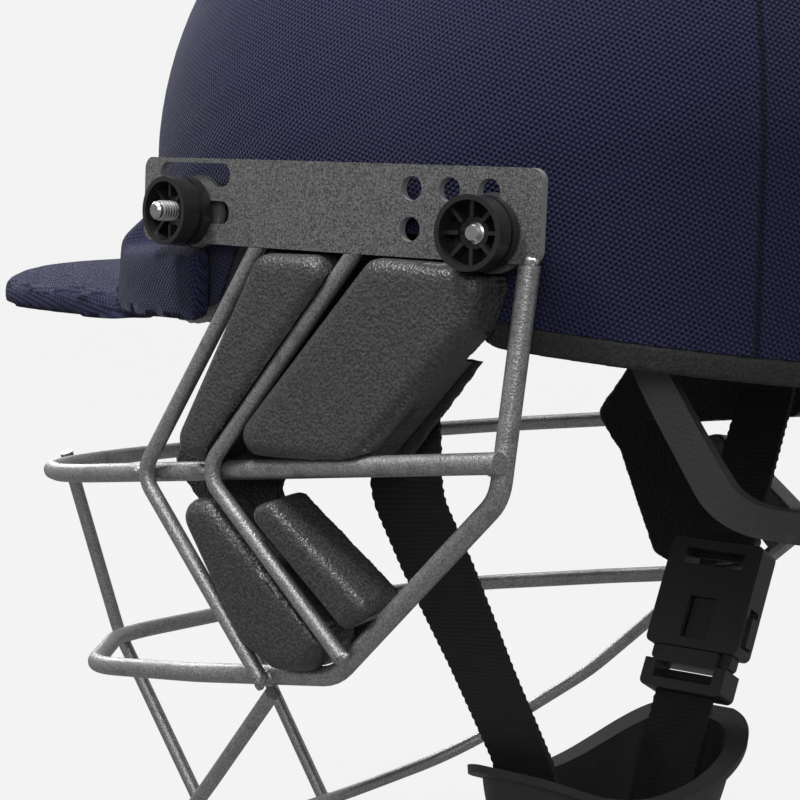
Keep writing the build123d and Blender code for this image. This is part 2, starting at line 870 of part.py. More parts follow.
def cup_body(inset, floor_z):
    """Solid bowl form, drawn in by the inset, from its floor to above its rim."""
    sections = []
    top = cup_rim_z + cup_rim_rise
    heights = (floor_z, floor_z + (top - floor_z) / 3, top)
    for z, share in zip(heights, (cup_floor_share, cup_waist_share, 1)):
        wide = cup_half_width * share - inset
        deep = cup_half_depth * share - inset
        sections.append(cup_section(wide, deep, z))
    return loft(sections)


def rim_arc(lift):
    """Saddle line of the cup's rim, seen from the front: high at the ends, low in the middle."""
    wide = cup_half_width + cup_flange
    ends = Vector(wide, 0, cup_rim_z + lift)
    low = Vector(0, 0, cup_rim_z - cup_rim_dip + lift)
    return ThreePointArc(ends, low, Vector(-wide, 0, cup_rim_z + lift))


def above_rim(lift, height):
    """Everything over the saddle line, up to a height above it."""
    low = rim_arc(lift)
    start = low @ 0
    end = low @ 1
    rise = Vector(0, 0, height)
    edges = [low, Line(end, end + rise), Line(end + rise, start + rise), Line(start + rise, start)]
    return extrude(make_face(edges), amount=far, dir=(0, 1, 0), both=True)


def make_cup():
    bowl = cup_body(0, cup_floor_z) - cup_body(cup_wall, cup_floor_z + cup_wall)
    bowl = bowl - above_rim(0, cup_rim_rise * 3)
    low = rim_arc(-cup_flange_thickness)
    high = rim_arc(0)
    ends = [Line(low @ 0, high @ 0), Line(low @ 1, high @ 1)]
    saddle = extrude(make_face([low, high] + ends), amount=far, dir=(0, 1, 0), both=True)
    ring = cup_body(-cup_flange, cup_floor_z) - cup_body(cup_wall, cup_floor_z)
    return bowl + (ring & saddle)


# Side release buckle, drawn hanging along local -Z with its width along Y


def right_webbing():
    """Top and rim points of the right webbing and its downward direction."""
    turn, rim = strap_line(strap_turn_x, strap_turn_z)[1:3]
    turn = Vector(-turn.X, 0, turn.Z)
    rim = Vector(-rim.X, 0, rim.Z)
    return turn, rim, (rim - turn).normalized()


def buckle_place():
    turn, rim, down = right_webbing()
    start = turn + down * buckle_start
    lean = math.degrees(math.atan2(-down.X, -down.Z))
    return Pos(start.X, anchor_y, start.Z) * Rot(0, lean, 0)


def flat(low_y, high_y, low_z, high_z, thickness):
    """Flat bar centred through the buckle's thickness."""
    return block((-thickness / 2, low_y, low_z), (thickness / 2, high_y, high_z))


def make_socket():
    half = buckle_width / 2
    body = flat(-half, half, -socket_length, 0, buckle_thickness)
    body = fillet(body.edges().filter_by(Axis.X), buckle_corner)
    inner = half - buckle_wall
    mouth = flat(-inner, inner, -socket_length - overrun, -buckle_bar - buckle_slot - buckle_bar,
                 buckle_thickness - 2 * buckle_wall)
    slot_half = strap_width / 2 + skin_gap
    slot = flat(-slot_half, slot_half, -buckle_bar - buckle_slot, -buckle_bar, buckle_thickness + overrun)
    low = -socket_length + buckle_bar
    window = flat(-window_width / 2, window_width / 2, low, low + window_length, buckle_thickness + overrun)
    sides = flat(-half - overrun, half + overrun, low, low + thumb_length + buckle_bar,
                 buckle_thickness - 2 * buckle_wall)
    return body - mouth - slot - window - sides


def make_tongue():
    half = buckle_width / 2 - buckle_wall
    top = -socket_length - buckle_gap
    base = flat(-half, half, top - tongue_length, top, buckle_thickness)
    base = fillet(base.edges().filter_by(Axis.X), buckle_corner)
    slot_half = strap_width / 2 + skin_gap
    slot_low = top - tongue_length + buckle_bar
    slot = flat(-slot_half, slot_half, slot_low, slot_low + buckle_slot, buckle_thickness + overrun)
    guide_half = window_width / 2 - buckle_gap
    guide_top = top + prong_length
    guide = flat(-guide_half, guide_half, top - overrun, guide_top, prong_thickness)
    tongue = base - slot + guide
    for side in (-1, 1):
        pocket = prong_pocket()
        tongue = tongue - Pos(0, side * prong_middle(), top) * pocket
    return tongue


def prong_middle():
    return buckle_width / 2 - buckle_wall - prong_width / 2 - buckle_gap


def prong_pocket():
    """Open pocket in the tongue's base where a prong's root turns."""
    size = prong_width + 2 * buckle_gap
    return block((-buckle_thickness, -size / 2, -prong_pivot_drop - size / 2), (buckle_thickness, size / 2, overrun))


def make_prong(side):
    """Springy side arm with a thumb pad that stands out of the socket's side opening."""
    top = -socket_length - buckle_gap
    middle = side * prong_middle()
    width = prong_width / 2
    root = Rot(0, 90, 0) * Cylinder(width, prong_thickness)
    arm = block((-prong_thickness / 2, -width, 0), (prong_thickness / 2, width, prong_length))
    reach = prong_width / 2 + buckle_gap + buckle_wall + thumb_proud
    start = buckle_bar + buckle_gap * 2 + prong_pivot_drop
    pad = block((-prong_thickness / 2, 0, start), (prong_thickness / 2, reach, start + thumb_length))
    if side < 0:
        pad = mirror(pad, about=Plane.XZ)
    return Pos(0, middle, top - prong_pivot_drop) * (root + arm + pad)


def make_harness():
    top, turn, rim, floor = strap_line(left_turn_x, left_turn_z)
    right_turn, right_rim, down = right_webbing()
    right_top = Vector(-top.X, 0, top.Z)
    low_end = Vector(-floor.X, 0, floor.Z)
    socket_end = right_turn + down * (buckle_start - skin_gap)
    tongue_end = right_turn + down * (buckle_start + socket_length + buckle_gap + tongue_length + skin_gap)
    place = buckle_place()
    tabs = anchor_places()
    return {
        "chin_strap_left": webbing([top, turn, rim, floor, low_end, right_rim, tongue_end]),
        "chin_strap_right": webbing([right_top, right_turn, socket_end]),
        "strap_tab_left": tabs[0] * make_tab(),
        "strap_tab_right": tabs[1] * make_tab(),
        "chin_cup": make_cup(),
        "buckle_socket": place * make_socket(),
        "buckle_tongue": place * make_tongue(),
        "buckle_prong_front": place * make_prong(-1),
        "buckle_prong_rear": place * make_prong(1)}


# Rear cradle


def make_cradle():
    """Springy band from a pivot inside each temple down and round the nape."""
    inner_x = cradle_x - cradle_thickness
    straight_y = cradle_pivot_y + cradle_eye_radius
    plan = [
        Vector(inner_x, cradle_pivot_y - cradle_eye_radius - overrun, 0), Vector(inner_x, straight_y, 0),
        Vector(cradle_corner_x, cradle_back_y, 0)]
    plan_path = FilletPolyline(*both_sides(plan), radius=[cradle_bend, cradle_round, cradle_round, cradle_bend])
    start = Plane(origin=plan_path @ 0, x_dir=(0, 0, 1), z_dir=plan_path % 0)
    wall = sweep(start * Rectangle(far, cradle_thickness), path=plan_path)
    side = [
        Vector(0, cradle_pivot_y, cradle_pivot_z), Vector(0, cradle_turn_y, cradle_turn_z),
        Vector(0, cradle_back_y + overrun * 4, cradle_back_z)]
    side_path = FilletPolyline(*side, radius=cradle_bend)
    start = Plane(origin=side_path @ 0, x_dir=(1, 0, 0), z_dir=side_path % 0)
    band = sweep(start * Rectangle(far, cradle_band), path=side_path)
    band = band + rod(cradle_eye_radius, -far / 2, far / 2).moved(Location((0, cradle_pivot_y, cradle_pivot_z)))
    cradle = wall & band
    for pin in cradle_places():
        cradle = cradle - pin * rod(pin_radius + run_gap, -far / 4, far / 4)
    return cradle


# The whole helmet


def make_pins():
    anchors = [place * make_pin(anchor_x, anchor_y, tab_thickness) for place in anchor_places()]
    pivots = [place * make_pin(cradle_x, cradle_pivot_y, cradle_thickness * 1.5) for place in cradle_places()]
    return {"strap_pins": Compound(children=anchors), "cradle_pins": Compound(children=pivots)}


def make_fasteners():
    places = stud_places()
    lefts = left_studs()
    studs = []
    feet = []
    washers = []
    knobs = {}
    for index, (name, proud) in enumerate((("front", front_stud_proud), ("rear", rear_stud_proud))):
        left = lefts[index]
        stud = left * make_stud(left, proud)
        foot = make_foot(left)
        washer = left * make_washer()
        knob = left * make_knob()
        studs += [stud, mirrored(stud)]
        feet += [foot, mirrored(foot)]
        washers += [washer, mirrored(washer)]
        knobs["knob_" + name + "_left"] = knob
        knobs["knob_" + name + "_right"] = mirrored(knob)
    groups = {
        "guard_studs": Compound(children=studs),
        "stud_feet": Compound(children=feet),
        "stud_washers": Compound(children=washers)}
    return groups | knobs


def make_helmet():
    wires, room = make_guard()
    plate = make_plate()
    pieces = {
        "outer_shell": make_shell(),
        "cloth_cover": make_cover(),
        "foam_liner": make_liner(),
        "edge_trim": make_trim(),
        "brow_band": make_brow_band(),
        "side_plate_left": plate,
        "side_plate_right": mirrored(plate),
        "rear_cradle": make_cradle()}
    for group in (make_comfort_pads(), make_peak(), make_fasteners(), wires, make_padding(room),
                  make_harness(), make_pins()):
        pieces = pieces | group
    return pieces


os.makedirs("parts", exist_ok=True)
for name, piece in make_helmet().items():
    export_step(piece, "parts/" + name + ".step")
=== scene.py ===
import json
import math

import bpy
import numpy as np
from bpy.props import FloatProperty, FloatVectorProperty, IntProperty, PointerProperty
from mathutils import Matrix, Vector, noise


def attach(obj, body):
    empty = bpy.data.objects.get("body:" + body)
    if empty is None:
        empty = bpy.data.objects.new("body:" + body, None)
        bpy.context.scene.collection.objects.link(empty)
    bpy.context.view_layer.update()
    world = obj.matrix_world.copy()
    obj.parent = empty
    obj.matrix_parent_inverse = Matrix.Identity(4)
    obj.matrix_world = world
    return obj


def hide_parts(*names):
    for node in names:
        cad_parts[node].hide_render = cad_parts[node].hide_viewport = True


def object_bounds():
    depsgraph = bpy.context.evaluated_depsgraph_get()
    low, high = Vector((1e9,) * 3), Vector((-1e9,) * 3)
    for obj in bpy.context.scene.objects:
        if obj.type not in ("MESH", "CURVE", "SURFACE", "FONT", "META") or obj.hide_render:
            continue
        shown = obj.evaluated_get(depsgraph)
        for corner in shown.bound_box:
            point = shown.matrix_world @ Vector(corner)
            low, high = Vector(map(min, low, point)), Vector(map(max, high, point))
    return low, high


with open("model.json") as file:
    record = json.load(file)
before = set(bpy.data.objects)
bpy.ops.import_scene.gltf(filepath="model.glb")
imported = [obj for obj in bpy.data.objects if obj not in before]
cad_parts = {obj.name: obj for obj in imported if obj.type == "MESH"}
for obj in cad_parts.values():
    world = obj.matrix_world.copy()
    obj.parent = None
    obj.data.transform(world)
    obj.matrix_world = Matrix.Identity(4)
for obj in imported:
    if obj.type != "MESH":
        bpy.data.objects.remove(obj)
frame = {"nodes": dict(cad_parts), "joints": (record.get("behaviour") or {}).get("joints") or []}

bl_info = {
    "name": "Cricket Helmet",
    "version": (1, 0, 0),
    "blender": (4, 5, 0),
    "location": "3D View > Sidebar > Helmet",
    "description": "Dresses the packed cricket helmet: knitted cover, guard, padding, harness and studio",
    "category": "Add Mesh",
}

cad_low, cad_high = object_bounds()

SIDES = ("left", "right")


# Settings a user would change


class CoverSettings(bpy.types.PropertyGroup):
    """Knitted cloth over the shell and the peak."""
    colour: FloatVectorProperty(name="Cloth colour", description="Colour of the knitted loops", subtype="COLOR",
                                size=3, default=(0.017, 0.018, 0.050), min=0, max=1)
    hole_colour: FloatVectorProperty(name="Hole colour", description="Colour deep between the loops",
                                     subtype="COLOR", size=3, default=(0.003, 0.003, 0.013), min=0, max=1)
    row_spacing: FloatProperty(name="Row spacing", description="Distance between rows of holes in the knit",
                               default=0.00106, min=0.0003, max=0.005, unit="LENGTH")
    seam_angle: FloatProperty(name="Seam angle", description="Heading of the rear seams round the back of the shell",
                              default=math.radians(47.3), min=0.1, max=1.5, subtype="ANGLE")
    peak_softness: IntProperty(name="Peak softness", description="Rounds of smoothing on the padded peak",
                               default=24, min=0, max=40)
    peak_lift: FloatProperty(name="Peak lift", description="How much the padded skin raises the peak", default=0.0016,
                             min=0, max=0.004, unit="LENGTH")
    roll_lift: FloatProperty(name="Roll lift", description="How far the roll runs up against the shell", default=0.009,
                             min=0, max=0.02, unit="LENGTH")


class PaddingSettings(bpy.types.PropertyGroup):
    """Moulded side pads, their backing and the comfort pads."""
    grain: FloatProperty(name="Grain", description="Size of one pebble of the pads' grain", default=0.000558,
                         min=0.0002, max=0.005, unit="LENGTH")
    softness: IntProperty(name="Edge softness", description="Rounds of smoothing on the moulded pads", default=7,
                          min=0, max=30)
    rag: FloatProperty(name="Cut edge roughness", description="How far the backing's cut edge wanders",
                       default=0.0007, min=0, max=0.003, unit="LENGTH")
    felt_fuzz: FloatProperty(name="Felt fuzz", description="Height of the felt's tufts", default=0.0008, min=0,
                             max=0.003, unit="LENGTH")


class HarnessSettings(bpy.types.PropertyGroup):
    """Webbing of the chin harness."""
    strap_width: FloatProperty(name="Strap width", description="Width of the webbing", default=0.019, min=0.01,
                               max=0.03, unit="LENGTH")
    strap_thickness: FloatProperty(name="Strap thickness", description="Thickness of the webbing", default=0.0016,
                                   min=0.0008, max=0.003, unit="LENGTH")
    pick: FloatProperty(name="Pick", description="Length of one woven scallop along the strap's edge",
                        default=0.0027, min=0.001, max=0.006, unit="LENGTH")


class MetalSettings(bpy.types.PropertyGroup):
    """Coated steel of the guard and the plated studs."""
    wire_colour: FloatVectorProperty(name="Wire colour", description="Colour of the guard's satin coat",
                                     subtype="COLOR", size=3, default=(0.38, 0.38, 0.382), min=0, max=1)
    plate_colour: FloatVectorProperty(name="Plate colour", description="Colour of the side plates' powder coat",
                                      subtype="COLOR", size=3, default=(0.112, 0.112, 0.114), min=0, max=1)
    thread_pitch: FloatProperty(name="Thread pitch", description="Distance between the studs' thread crests",
                                default=0.0008, min=0.0003, max=0.002, unit="LENGTH")
    bead: FloatProperty(name="Weld bead", description="Size of a weld bead", default=0.0021, min=0.0005,
                        max=0.005, unit="LENGTH")


SETTINGS = {"helmet_cover": CoverSettings, "helmet_padding": PaddingSettings, "helmet_harness": HarnessSettings,
            "helmet_metal": MetalSettings}


# Short ways to build node trees


def add_node(tree, kind, inputs=None, **settings):
    node = tree.nodes.new(kind)
    for key, value in settings.items():
        setattr(node, key, value)
    for key, value in (inputs or {}).items():
        if isinstance(value, bpy.types.NodeSocket):
            tree.links.new(value, node.inputs[key])
        else:
            node.inputs[key].default_value = value
    return node


def calc(tree, operation, first, second=None):
    node = add_node(tree, "ShaderNodeMath", {0: first}, operation=operation)
    if isinstance(second, bpy.types.NodeSocket):
        tree.links.new(second, node.inputs[1])
    elif second is not None:
        node.inputs[1].default_value = second
    return node.outputs[0]


def ramp(tree, value, low, high, to_low=0.0, to_high=1.0):
    """Value carried from one range to another and clamped there."""
    node = add_node(tree, "ShaderNodeMapRange",
                    {"Value": value, "From Min": low, "From Max": high, "To Min": to_low, "To Max": to_high})
    return node.outputs["Result"]


def blend_colour(tree, share, first, second):
    node = add_node(tree, "ShaderNodeMix", data_type="RGBA")
    for socket, value in ((node.inputs["Factor"], share), (node.inputs[6], first), (node.inputs[7], second)):
        if isinstance(value, bpy.types.NodeSocket):
            tree.links.new(value, socket)
        elif isinstance(value, (int, float)):
            socket.default_value = value
        else:
            socket.default_value = (*value, 1)
    return node.outputs[2]


def tint(colour, share, lift=0.0):
    """A colour made lighter or darker."""
    return tuple(min(1, part * share + lift) for part in colour)


def new_group(name, inputs, outputs):
    """Empty shader node group with its named sockets: (name, kind, default) in, (name, kind) out."""
    group = bpy.data.node_groups.new(name, "ShaderNodeTree")
    for label, kind, value in inputs:
        socket = group.interface.new_socket(label, in_out="INPUT", socket_type="NodeSocket" + kind)
        if value is not None:
            socket.default_value = value
    for label, kind in outputs:
        group.interface.new_socket(label, in_out="OUTPUT", socket_type="NodeSocket" + kind)
    return group, group.nodes.new("NodeGroupInput").outputs, group.nodes.new("NodeGroupOutput").inputs


def use_group(tree, name, **inputs):
    node = add_node(tree, "ShaderNodeGroup", node_tree=bpy.data.node_groups[name])
    for key, value in inputs.items():
        socket = node.inputs[key.replace("_", " ")]
        if isinstance(value, bpy.types.NodeSocket):
            tree.links.new(value, socket)
        else:
            socket.default_value = value
    return node.outputs


def grain_on(tree, coords, scale, detail):
    """Fine grain fixed to the piece: its height and its wide patches."""
    return use_group(tree, "Grain", Vector=coords["Object"], Scale=scale, Detail=detail)


def noise_on(tree, coords, scale, detail, roughness=0.5):
    """Cloudy noise fixed to the piece."""
    return add_node(tree, "ShaderNodeTexNoise", {"Vector": coords["Object"], "Scale": scale, "Detail": detail,
                                                 "Roughness": roughness}).outputs[0]


KNIT_HEADINGS = (math.radians(18), math.radians(72), math.radians(133))
WEBBING_RIB = 0.0011


def make_groups():
    """Effects shared by several materials."""
    group, given, out = new_group("Grain", [("Vector", "Vector", None), ("Scale", "Float", 1000.0),
                                            ("Detail", "Float", 3.0)],
                                  [("Height", "Float"), ("Patches", "Float")])
    cells = add_node(group, "ShaderNodeTexVoronoi", {"Vector": given[0], "Scale": given[1]})
    fine = add_node(group, "ShaderNodeTexNoise", {"Vector": given[0], "Scale": given[1], "Detail": given[2]})
    wide = add_node(group, "ShaderNodeTexNoise", {"Vector": given[0], "Scale": calc(group, "MULTIPLY", given[1], 0.06),
                                                  "Detail": 4.0})
    height = calc(group, "ADD", calc(group, "MULTIPLY", cells.outputs["Distance"], 0.6), fine.outputs[0])
    group.links.new(height, out["Height"])
    group.links.new(ramp(group, wide.outputs[0], 0.3, 0.7), out["Patches"])

    group, given, out = new_group("Knit", [("UV", "Vector", None), ("Row spacing", "Float", 0.001)],
                                  [("Hole", "Float"), ("Loop", "Float"), ("Height", "Float")])
    place = add_node(group, "ShaderNodeSeparateXYZ", {0: given[0]}).outputs
    sway = add_node(group, "ShaderNodeTexNoise", {"Vector": given[0], "Scale": 1100.0, "Detail": 1.0}).outputs[0]
    sway = calc(group, "MULTIPLY", calc(group, "SUBTRACT", sway, 0.5), 1.1)
    waves = []
    for heading in KNIT_HEADINGS:
        across = calc(group, "ADD", calc(group, "MULTIPLY", place[0], math.cos(heading)),
                      calc(group, "MULTIPLY", place[1], math.sin(heading)))
        phase = calc(group, "MULTIPLY", calc(group, "DIVIDE", across, given[1]), 2 * math.pi)
        waves.append(calc(group, "COSINE", calc(group, "ADD", phase, sway)))
    wave = calc(group, "ADD", calc(group, "ADD", waves[0], waves[1]), waves[2])
    group.links.new(ramp(group, wave, 0.5, 2.3), out["Hole"])
    group.links.new(ramp(group, wave, -0.6, -1.45), out["Loop"])
    group.links.new(calc(group, "MULTIPLY", wave, -0.5), out["Height"])

    group, given, out = new_group("Webbing weave", [("UV", "Vector", None), ("Pick", "Float", 0.0014)],
                                  [("Height", "Float"), ("Rib", "Float")])
    place = add_node(group, "ShaderNodeSeparateXYZ", {0: given[0]}).outputs
    across = calc(group, "MULTIPLY", calc(group, "DIVIDE", place[0], WEBBING_RIB), math.pi)
    slant = calc(group, "ABSOLUTE", calc(group, "SINE", across))
    along = calc(group, "MULTIPLY", calc(group, "DIVIDE", place[1], given[1]), 2 * math.pi)
    step = calc(group, "SINE", calc(group, "ADD", along, calc(group, "MULTIPLY", slant, 1.5)))
    height = calc(group, "ADD", calc(group, "MULTIPLY", step, 0.5), slant)
    group.links.new(height, out["Height"])
    group.links.new(ramp(group, step, -0.8, 0.9), out["Rib"])

    group, given, out = new_group("Side facing", [("Sharpness", "Float", 4.0)], [("Side", "Float")])
    normal = add_node(group, "ShaderNodeNewGeometry").outputs["Normal"]
    across = add_node(group, "ShaderNodeSeparateXYZ", {0: normal}).outputs[0]
    group.links.new(calc(group, "POWER", calc(group, "ABSOLUTE", across), given[0]), out["Side"])


FINISHES = {}


def surface(name, roughness=0.5, **sockets):
    """New material: its tree, its shader and Object coordinates."""
    finish = bpy.data.materials.new("finish_" + name)
    finish.use_nodes = True
    FINISHES[name] = finish
    tree = finish.node_tree
    shader = tree.nodes["Principled BSDF"]
    shader.inputs["Roughness"].default_value = roughness
    for label, value in sockets.items():
        shader.inputs[label.replace("_", " ")].default_value = value
    return tree, shader, tree.nodes.new("ShaderNodeTexCoord").outputs


def bump(tree, shader, height, distance, strength=1.0):
    node = add_node(tree, "ShaderNodeBump", {"Height": height, "Distance": distance, "Strength": strength})
    tree.links.new(node.outputs[0], shader.inputs["Normal"])


def colour_from(tree, shader, colour):
    tree.links.new(colour, shader.inputs["Base Color"])


SEAM_MIDDLE_Y = 0.017


def knitted_cloth(cover):
    """Knitted cloth with its two rear seams."""
    tree, shader, coords = surface("knitted_cloth", 0.85, Sheen_Weight=0.06, Sheen_Roughness=0.5,
                                   Specular_IOR_Level=0.12)
    knit = use_group(tree, "Knit", UV=coords["UV"], Row_spacing=cover.row_spacing)
    grain = grain_on(tree, coords, 1500.0, 2.0)
    place = add_node(tree, "ShaderNodeSeparateXYZ", {0: coords["Object"]}).outputs
    behind = calc(tree, "SUBTRACT", place[1], SEAM_MIDDLE_Y)
    heading = calc(tree, "ARCTAN2", behind, calc(tree, "ABSOLUTE", place[0]))
    off = calc(tree, "MULTIPLY", calc(tree, "ABSOLUTE", calc(tree, "SUBTRACT", heading, cover.seam_angle)), 0.1)
    seam = ramp(tree, off, 0.0011, 0.0003)
    puff = ramp(tree, off, 0.0048, 0.0010)
    colour = tuple(cover.colour)
    light = tint(colour, 2.1, 0.012)
    base = blend_colour(tree, ramp(tree, grain["Patches"], 0, 1, 0.0, 0.35), colour, tint(colour, 0.8))
    base = blend_colour(tree, calc(tree, "MULTIPLY", knit["Loop"], 0.7), base, light)
    base = blend_colour(tree, knit["Hole"], base, tuple(cover.hole_colour))
    colour_from(tree, shader, blend_colour(tree, calc(tree, "MULTIPLY", seam, 0.7), base, tuple(cover.hole_colour)))
    height = calc(tree, "ADD", knit["Height"], calc(tree, "MULTIPLY", grain["Height"], 0.4))
    height = calc(tree, "ADD", height, calc(tree, "MULTIPLY", puff, 2.0))
    bump(tree, shader, calc(tree, "SUBTRACT", height, calc(tree, "MULTIPLY", seam, 6.0)), 0.00022, 0.8)


def moulded_foam(padding):
    tree, shader, coords = surface("moulded_foam", 0.4, Specular_IOR_Level=0.55)
    grain = grain_on(tree, coords, 0.7 / padding.grain, 3.0)
    dust = noise_on(tree, coords, 2600.0, 1.0)
    base = blend_colour(tree, ramp(tree, grain["Height"], 0.45, 1.0), (0.020, 0.020, 0.0205), (0.068, 0.068, 0.069))
    base = blend_colour(tree, ramp(tree, dust, 0.62, 0.75, 0.0, 0.35), base, (0.16, 0.16, 0.16))
    colour_from(tree, shader, base)
    rough = ramp(tree, grain["Patches"], 0, 1, 0.28, 0.42)
    tree.links.new(rough, shader.inputs["Roughness"])
    bump(tree, shader, grain["Height"], 0.0003, 1.0)


def brushed_backing():
    tree, shader, coords = surface("brushed_backing", 0.95, Sheen_Weight=0.2, Specular_IOR_Level=0.2)
    grain = grain_on(tree, coords, 1400.0, 4.0)
    colour_from(tree, shader, blend_colour(tree, ramp(tree, grain["Height"], 0.4, 1.1), (0.006, 0.006, 0.0062),
                                           (0.022, 0.022, 0.023)))
    bump(tree, shader, grain["Height"], 0.0006, 0.9)


def comfort_cloth():
    tree, shader, coords = surface("comfort_cloth", 0.9, Sheen_Weight=0.3, Specular_IOR_Level=0.2)
    knit = use_group(tree, "Knit", UV=coords["UV"], Row_spacing=0.0022)
    grain = grain_on(tree, coords, 1200.0, 3.0)
    base = blend_colour(tree, grain["Patches"], (0.016, 0.016, 0.017), (0.026, 0.026, 0.028))
    colour_from(tree, shader, blend_colour(tree, knit["Hole"], base, (0.004, 0.004, 0.004)))
    bump(tree, shader, calc(tree, "ADD", knit["Height"], grain["Height"]), 0.0003, 0.8)


def grey_felt():
    tree, shader, coords = surface("grey_felt", 1.0, Sheen_Weight=0.4, Specular_IOR_Level=0.15)
    grain = grain_on(tree, coords, 900.0, 5.0)
    fleck = noise_on(tree, coords, 420.0, 5.0)
    base = blend_colour(tree, ramp(tree, grain["Height"], 0.5, 1.1), (0.20, 0.20, 0.20), (0.62, 0.62, 0.61))
    base = blend_colour(tree, ramp(tree, fleck, 0.55, 0.72, 0.0, 0.7), base, (0.07, 0.07, 0.075))
    colour_from(tree, shader, base)
    bump(tree, shader, grain["Height"], 0.0012, 0.9)


def soft_edging():
    tree, shader, coords = surface("soft_edging", 0.75, Sheen_Weight=0.1, Specular_IOR_Level=0.3)
    grain = grain_on(tree, coords, 1300.0, 3.0)
    colour_from(tree, shader, blend_colour(tree, ramp(tree, grain["Height"], 0.4, 1.1), (0.010, 0.010, 0.0102),
                                           (0.030, 0.030, 0.031)))
    bump(tree, shader, grain["Height"], 0.00022, 0.7)


def woven_webbing():
    tree, shader, coords = surface("woven_webbing", 0.72, Sheen_Weight=0.05, Specular_IOR_Level=0.22)
    weave = use_group(tree, "Webbing weave", UV=coords["UV"], Pick=0.0014)
    grain = grain_on(tree, coords, 2200.0, 2.0)
    base = blend_colour(tree, weave["Rib"], (0.010, 0.010, 0.0102), (0.019, 0.019, 0.0193))
    colour_from(tree, shader, blend_colour(tree, ramp(tree, grain["Patches"], 0, 1, 0, 0.4), base,
                                           (0.027, 0.027, 0.0275)))
    bump(tree, shader, calc(tree, "ADD", weave["Height"], calc(tree, "MULTIPLY", grain["Height"], 0.5)), 0.00012, 0.7)


def moulded_plastic(name, base_colour, rough, texture):
    """Moulded plastic with a fine spark-eroded texture and paler rubbed patches."""
    tree, shader, coords = surface(name, rough, Specular_IOR_Level=0.45)
    grain = grain_on(tree, coords, 2000.0, 2.0)
    scuff = noise_on(tree, coords, 160.0, 6.0, 0.7)
    scuffs = ramp(tree, scuff, 0.58, 0.75, 0.0, 0.5)
    dark = tint(base_colour, 0.75)
    base = blend_colour(tree, ramp(tree, grain["Height"], 0.4, 1.1), dark, base_colour)
    colour_from(tree, shader, blend_colour(tree, scuffs, base, tint(base_colour, 1.9, 0.004)))
    tree.links.new(ramp(tree, scuffs, 0, 0.5, rough, rough + 0.16), shader.inputs["Roughness"])
    bump(tree, shader, grain["Height"], texture, 0.7)


def satin_coat(metal):
    """Satin grey coat on the guard's wires."""
    tree, shader, coords = surface("satin_coat", 0.36, Metallic=0.8, Specular_IOR_Level=0.5, Coat_Weight=0.1,
                                   Coat_Roughness=0.25)
    grain = grain_on(tree, coords, 1900.0, 3.0)
    streak = noise_on(tree, coords, 190.0, 4.0)
    colour = tuple(metal.wire_colour)
    base = blend_colour(tree, ramp(tree, grain["Height"], 0.5, 1.0), tint(colour, 0.6),
                        tint(colour, 1.35))
    base = blend_colour(tree, ramp(tree, streak, 0.55, 0.72, 0, 0.5), base, tint(colour, 0.45))
    colour_from(tree, shader, base)
    tree.links.new(ramp(tree, grain["Patches"], 0, 1, 0.34, 0.46), shader.inputs["Roughness"])
    bump(tree, shader, grain["Height"], 0.00012, 0.8)


def powder_coat(metal):
    """Dark speckled powder coat on the side plates, with a painted highlight on the cut edges."""
    tree, shader, coords = surface("powder_coat", 0.42, Metallic=0.25, Specular_IOR_Level=0.5)
    grain = grain_on(tree, coords, 2300.0, 2.0)
    fleck = noise_on(tree, coords, 1900.0, 2.0, 0.7)
    facing = use_group(tree, "Side facing", Sharpness=6.0)
    colour = tuple(metal.plate_colour)
    base = blend_colour(tree, ramp(tree, fleck, 0.36, 0.64), tint(colour, 0.42),
                        tint(colour, 1.9))
    # Painted highlight: faces that don't look sideways (the plates' cut edges) are painted pale grey.
    edge = calc(tree, "SUBTRACT", 1.0, facing["Side"])
    colour_from(tree, shader, blend_colour(tree, calc(tree, "MULTIPLY", edge, 0.75), base, (0.38, 0.38, 0.385)))
    tree.links.new(ramp(tree, fleck, 0.3, 0.7, 0.5, 0.34), shader.inputs["Roughness"])
    bump(tree, shader, grain["Height"], 0.00012, 0.7)


def plated_steel(name, colour, rough):
    """Zinc plating or blackening with faint stains."""
    tree, shader, coords = surface(name, rough, Metallic=1.0)
    stain = noise_on(tree, coords, 600.0, 5.0)
    shade = ramp(tree, stain, 0.4, 0.75)
    colour_from(tree, shader, blend_colour(tree, shade, colour, tint(colour, 0.6)))
    tree.links.new(ramp(tree, shade, 0, 1, rough, rough + 0.2), shader.inputs["Roughness"])
    bump(tree, shader, stain, 0.00005, 0.5)


def liner_foam():
    tree, shader, coords = surface("liner_foam", 0.9, Specular_IOR_Level=0.2)
    cells = add_node(tree, "ShaderNodeTexVoronoi", {"Vector": coords["Object"], "Scale": 420.0})
    grain = grain_on(tree, coords, 1500.0, 3.0)
    colour_from(tree, shader, blend_colour(tree, ramp(tree, cells.outputs["Distance"], 0.1, 0.7),
                                           (0.030, 0.030, 0.032), (0.015, 0.015, 0.016)))
    bump(tree, shader, calc(tree, "ADD", cells.outputs["Distance"], grain["Height"]), 0.0004, 0.7)


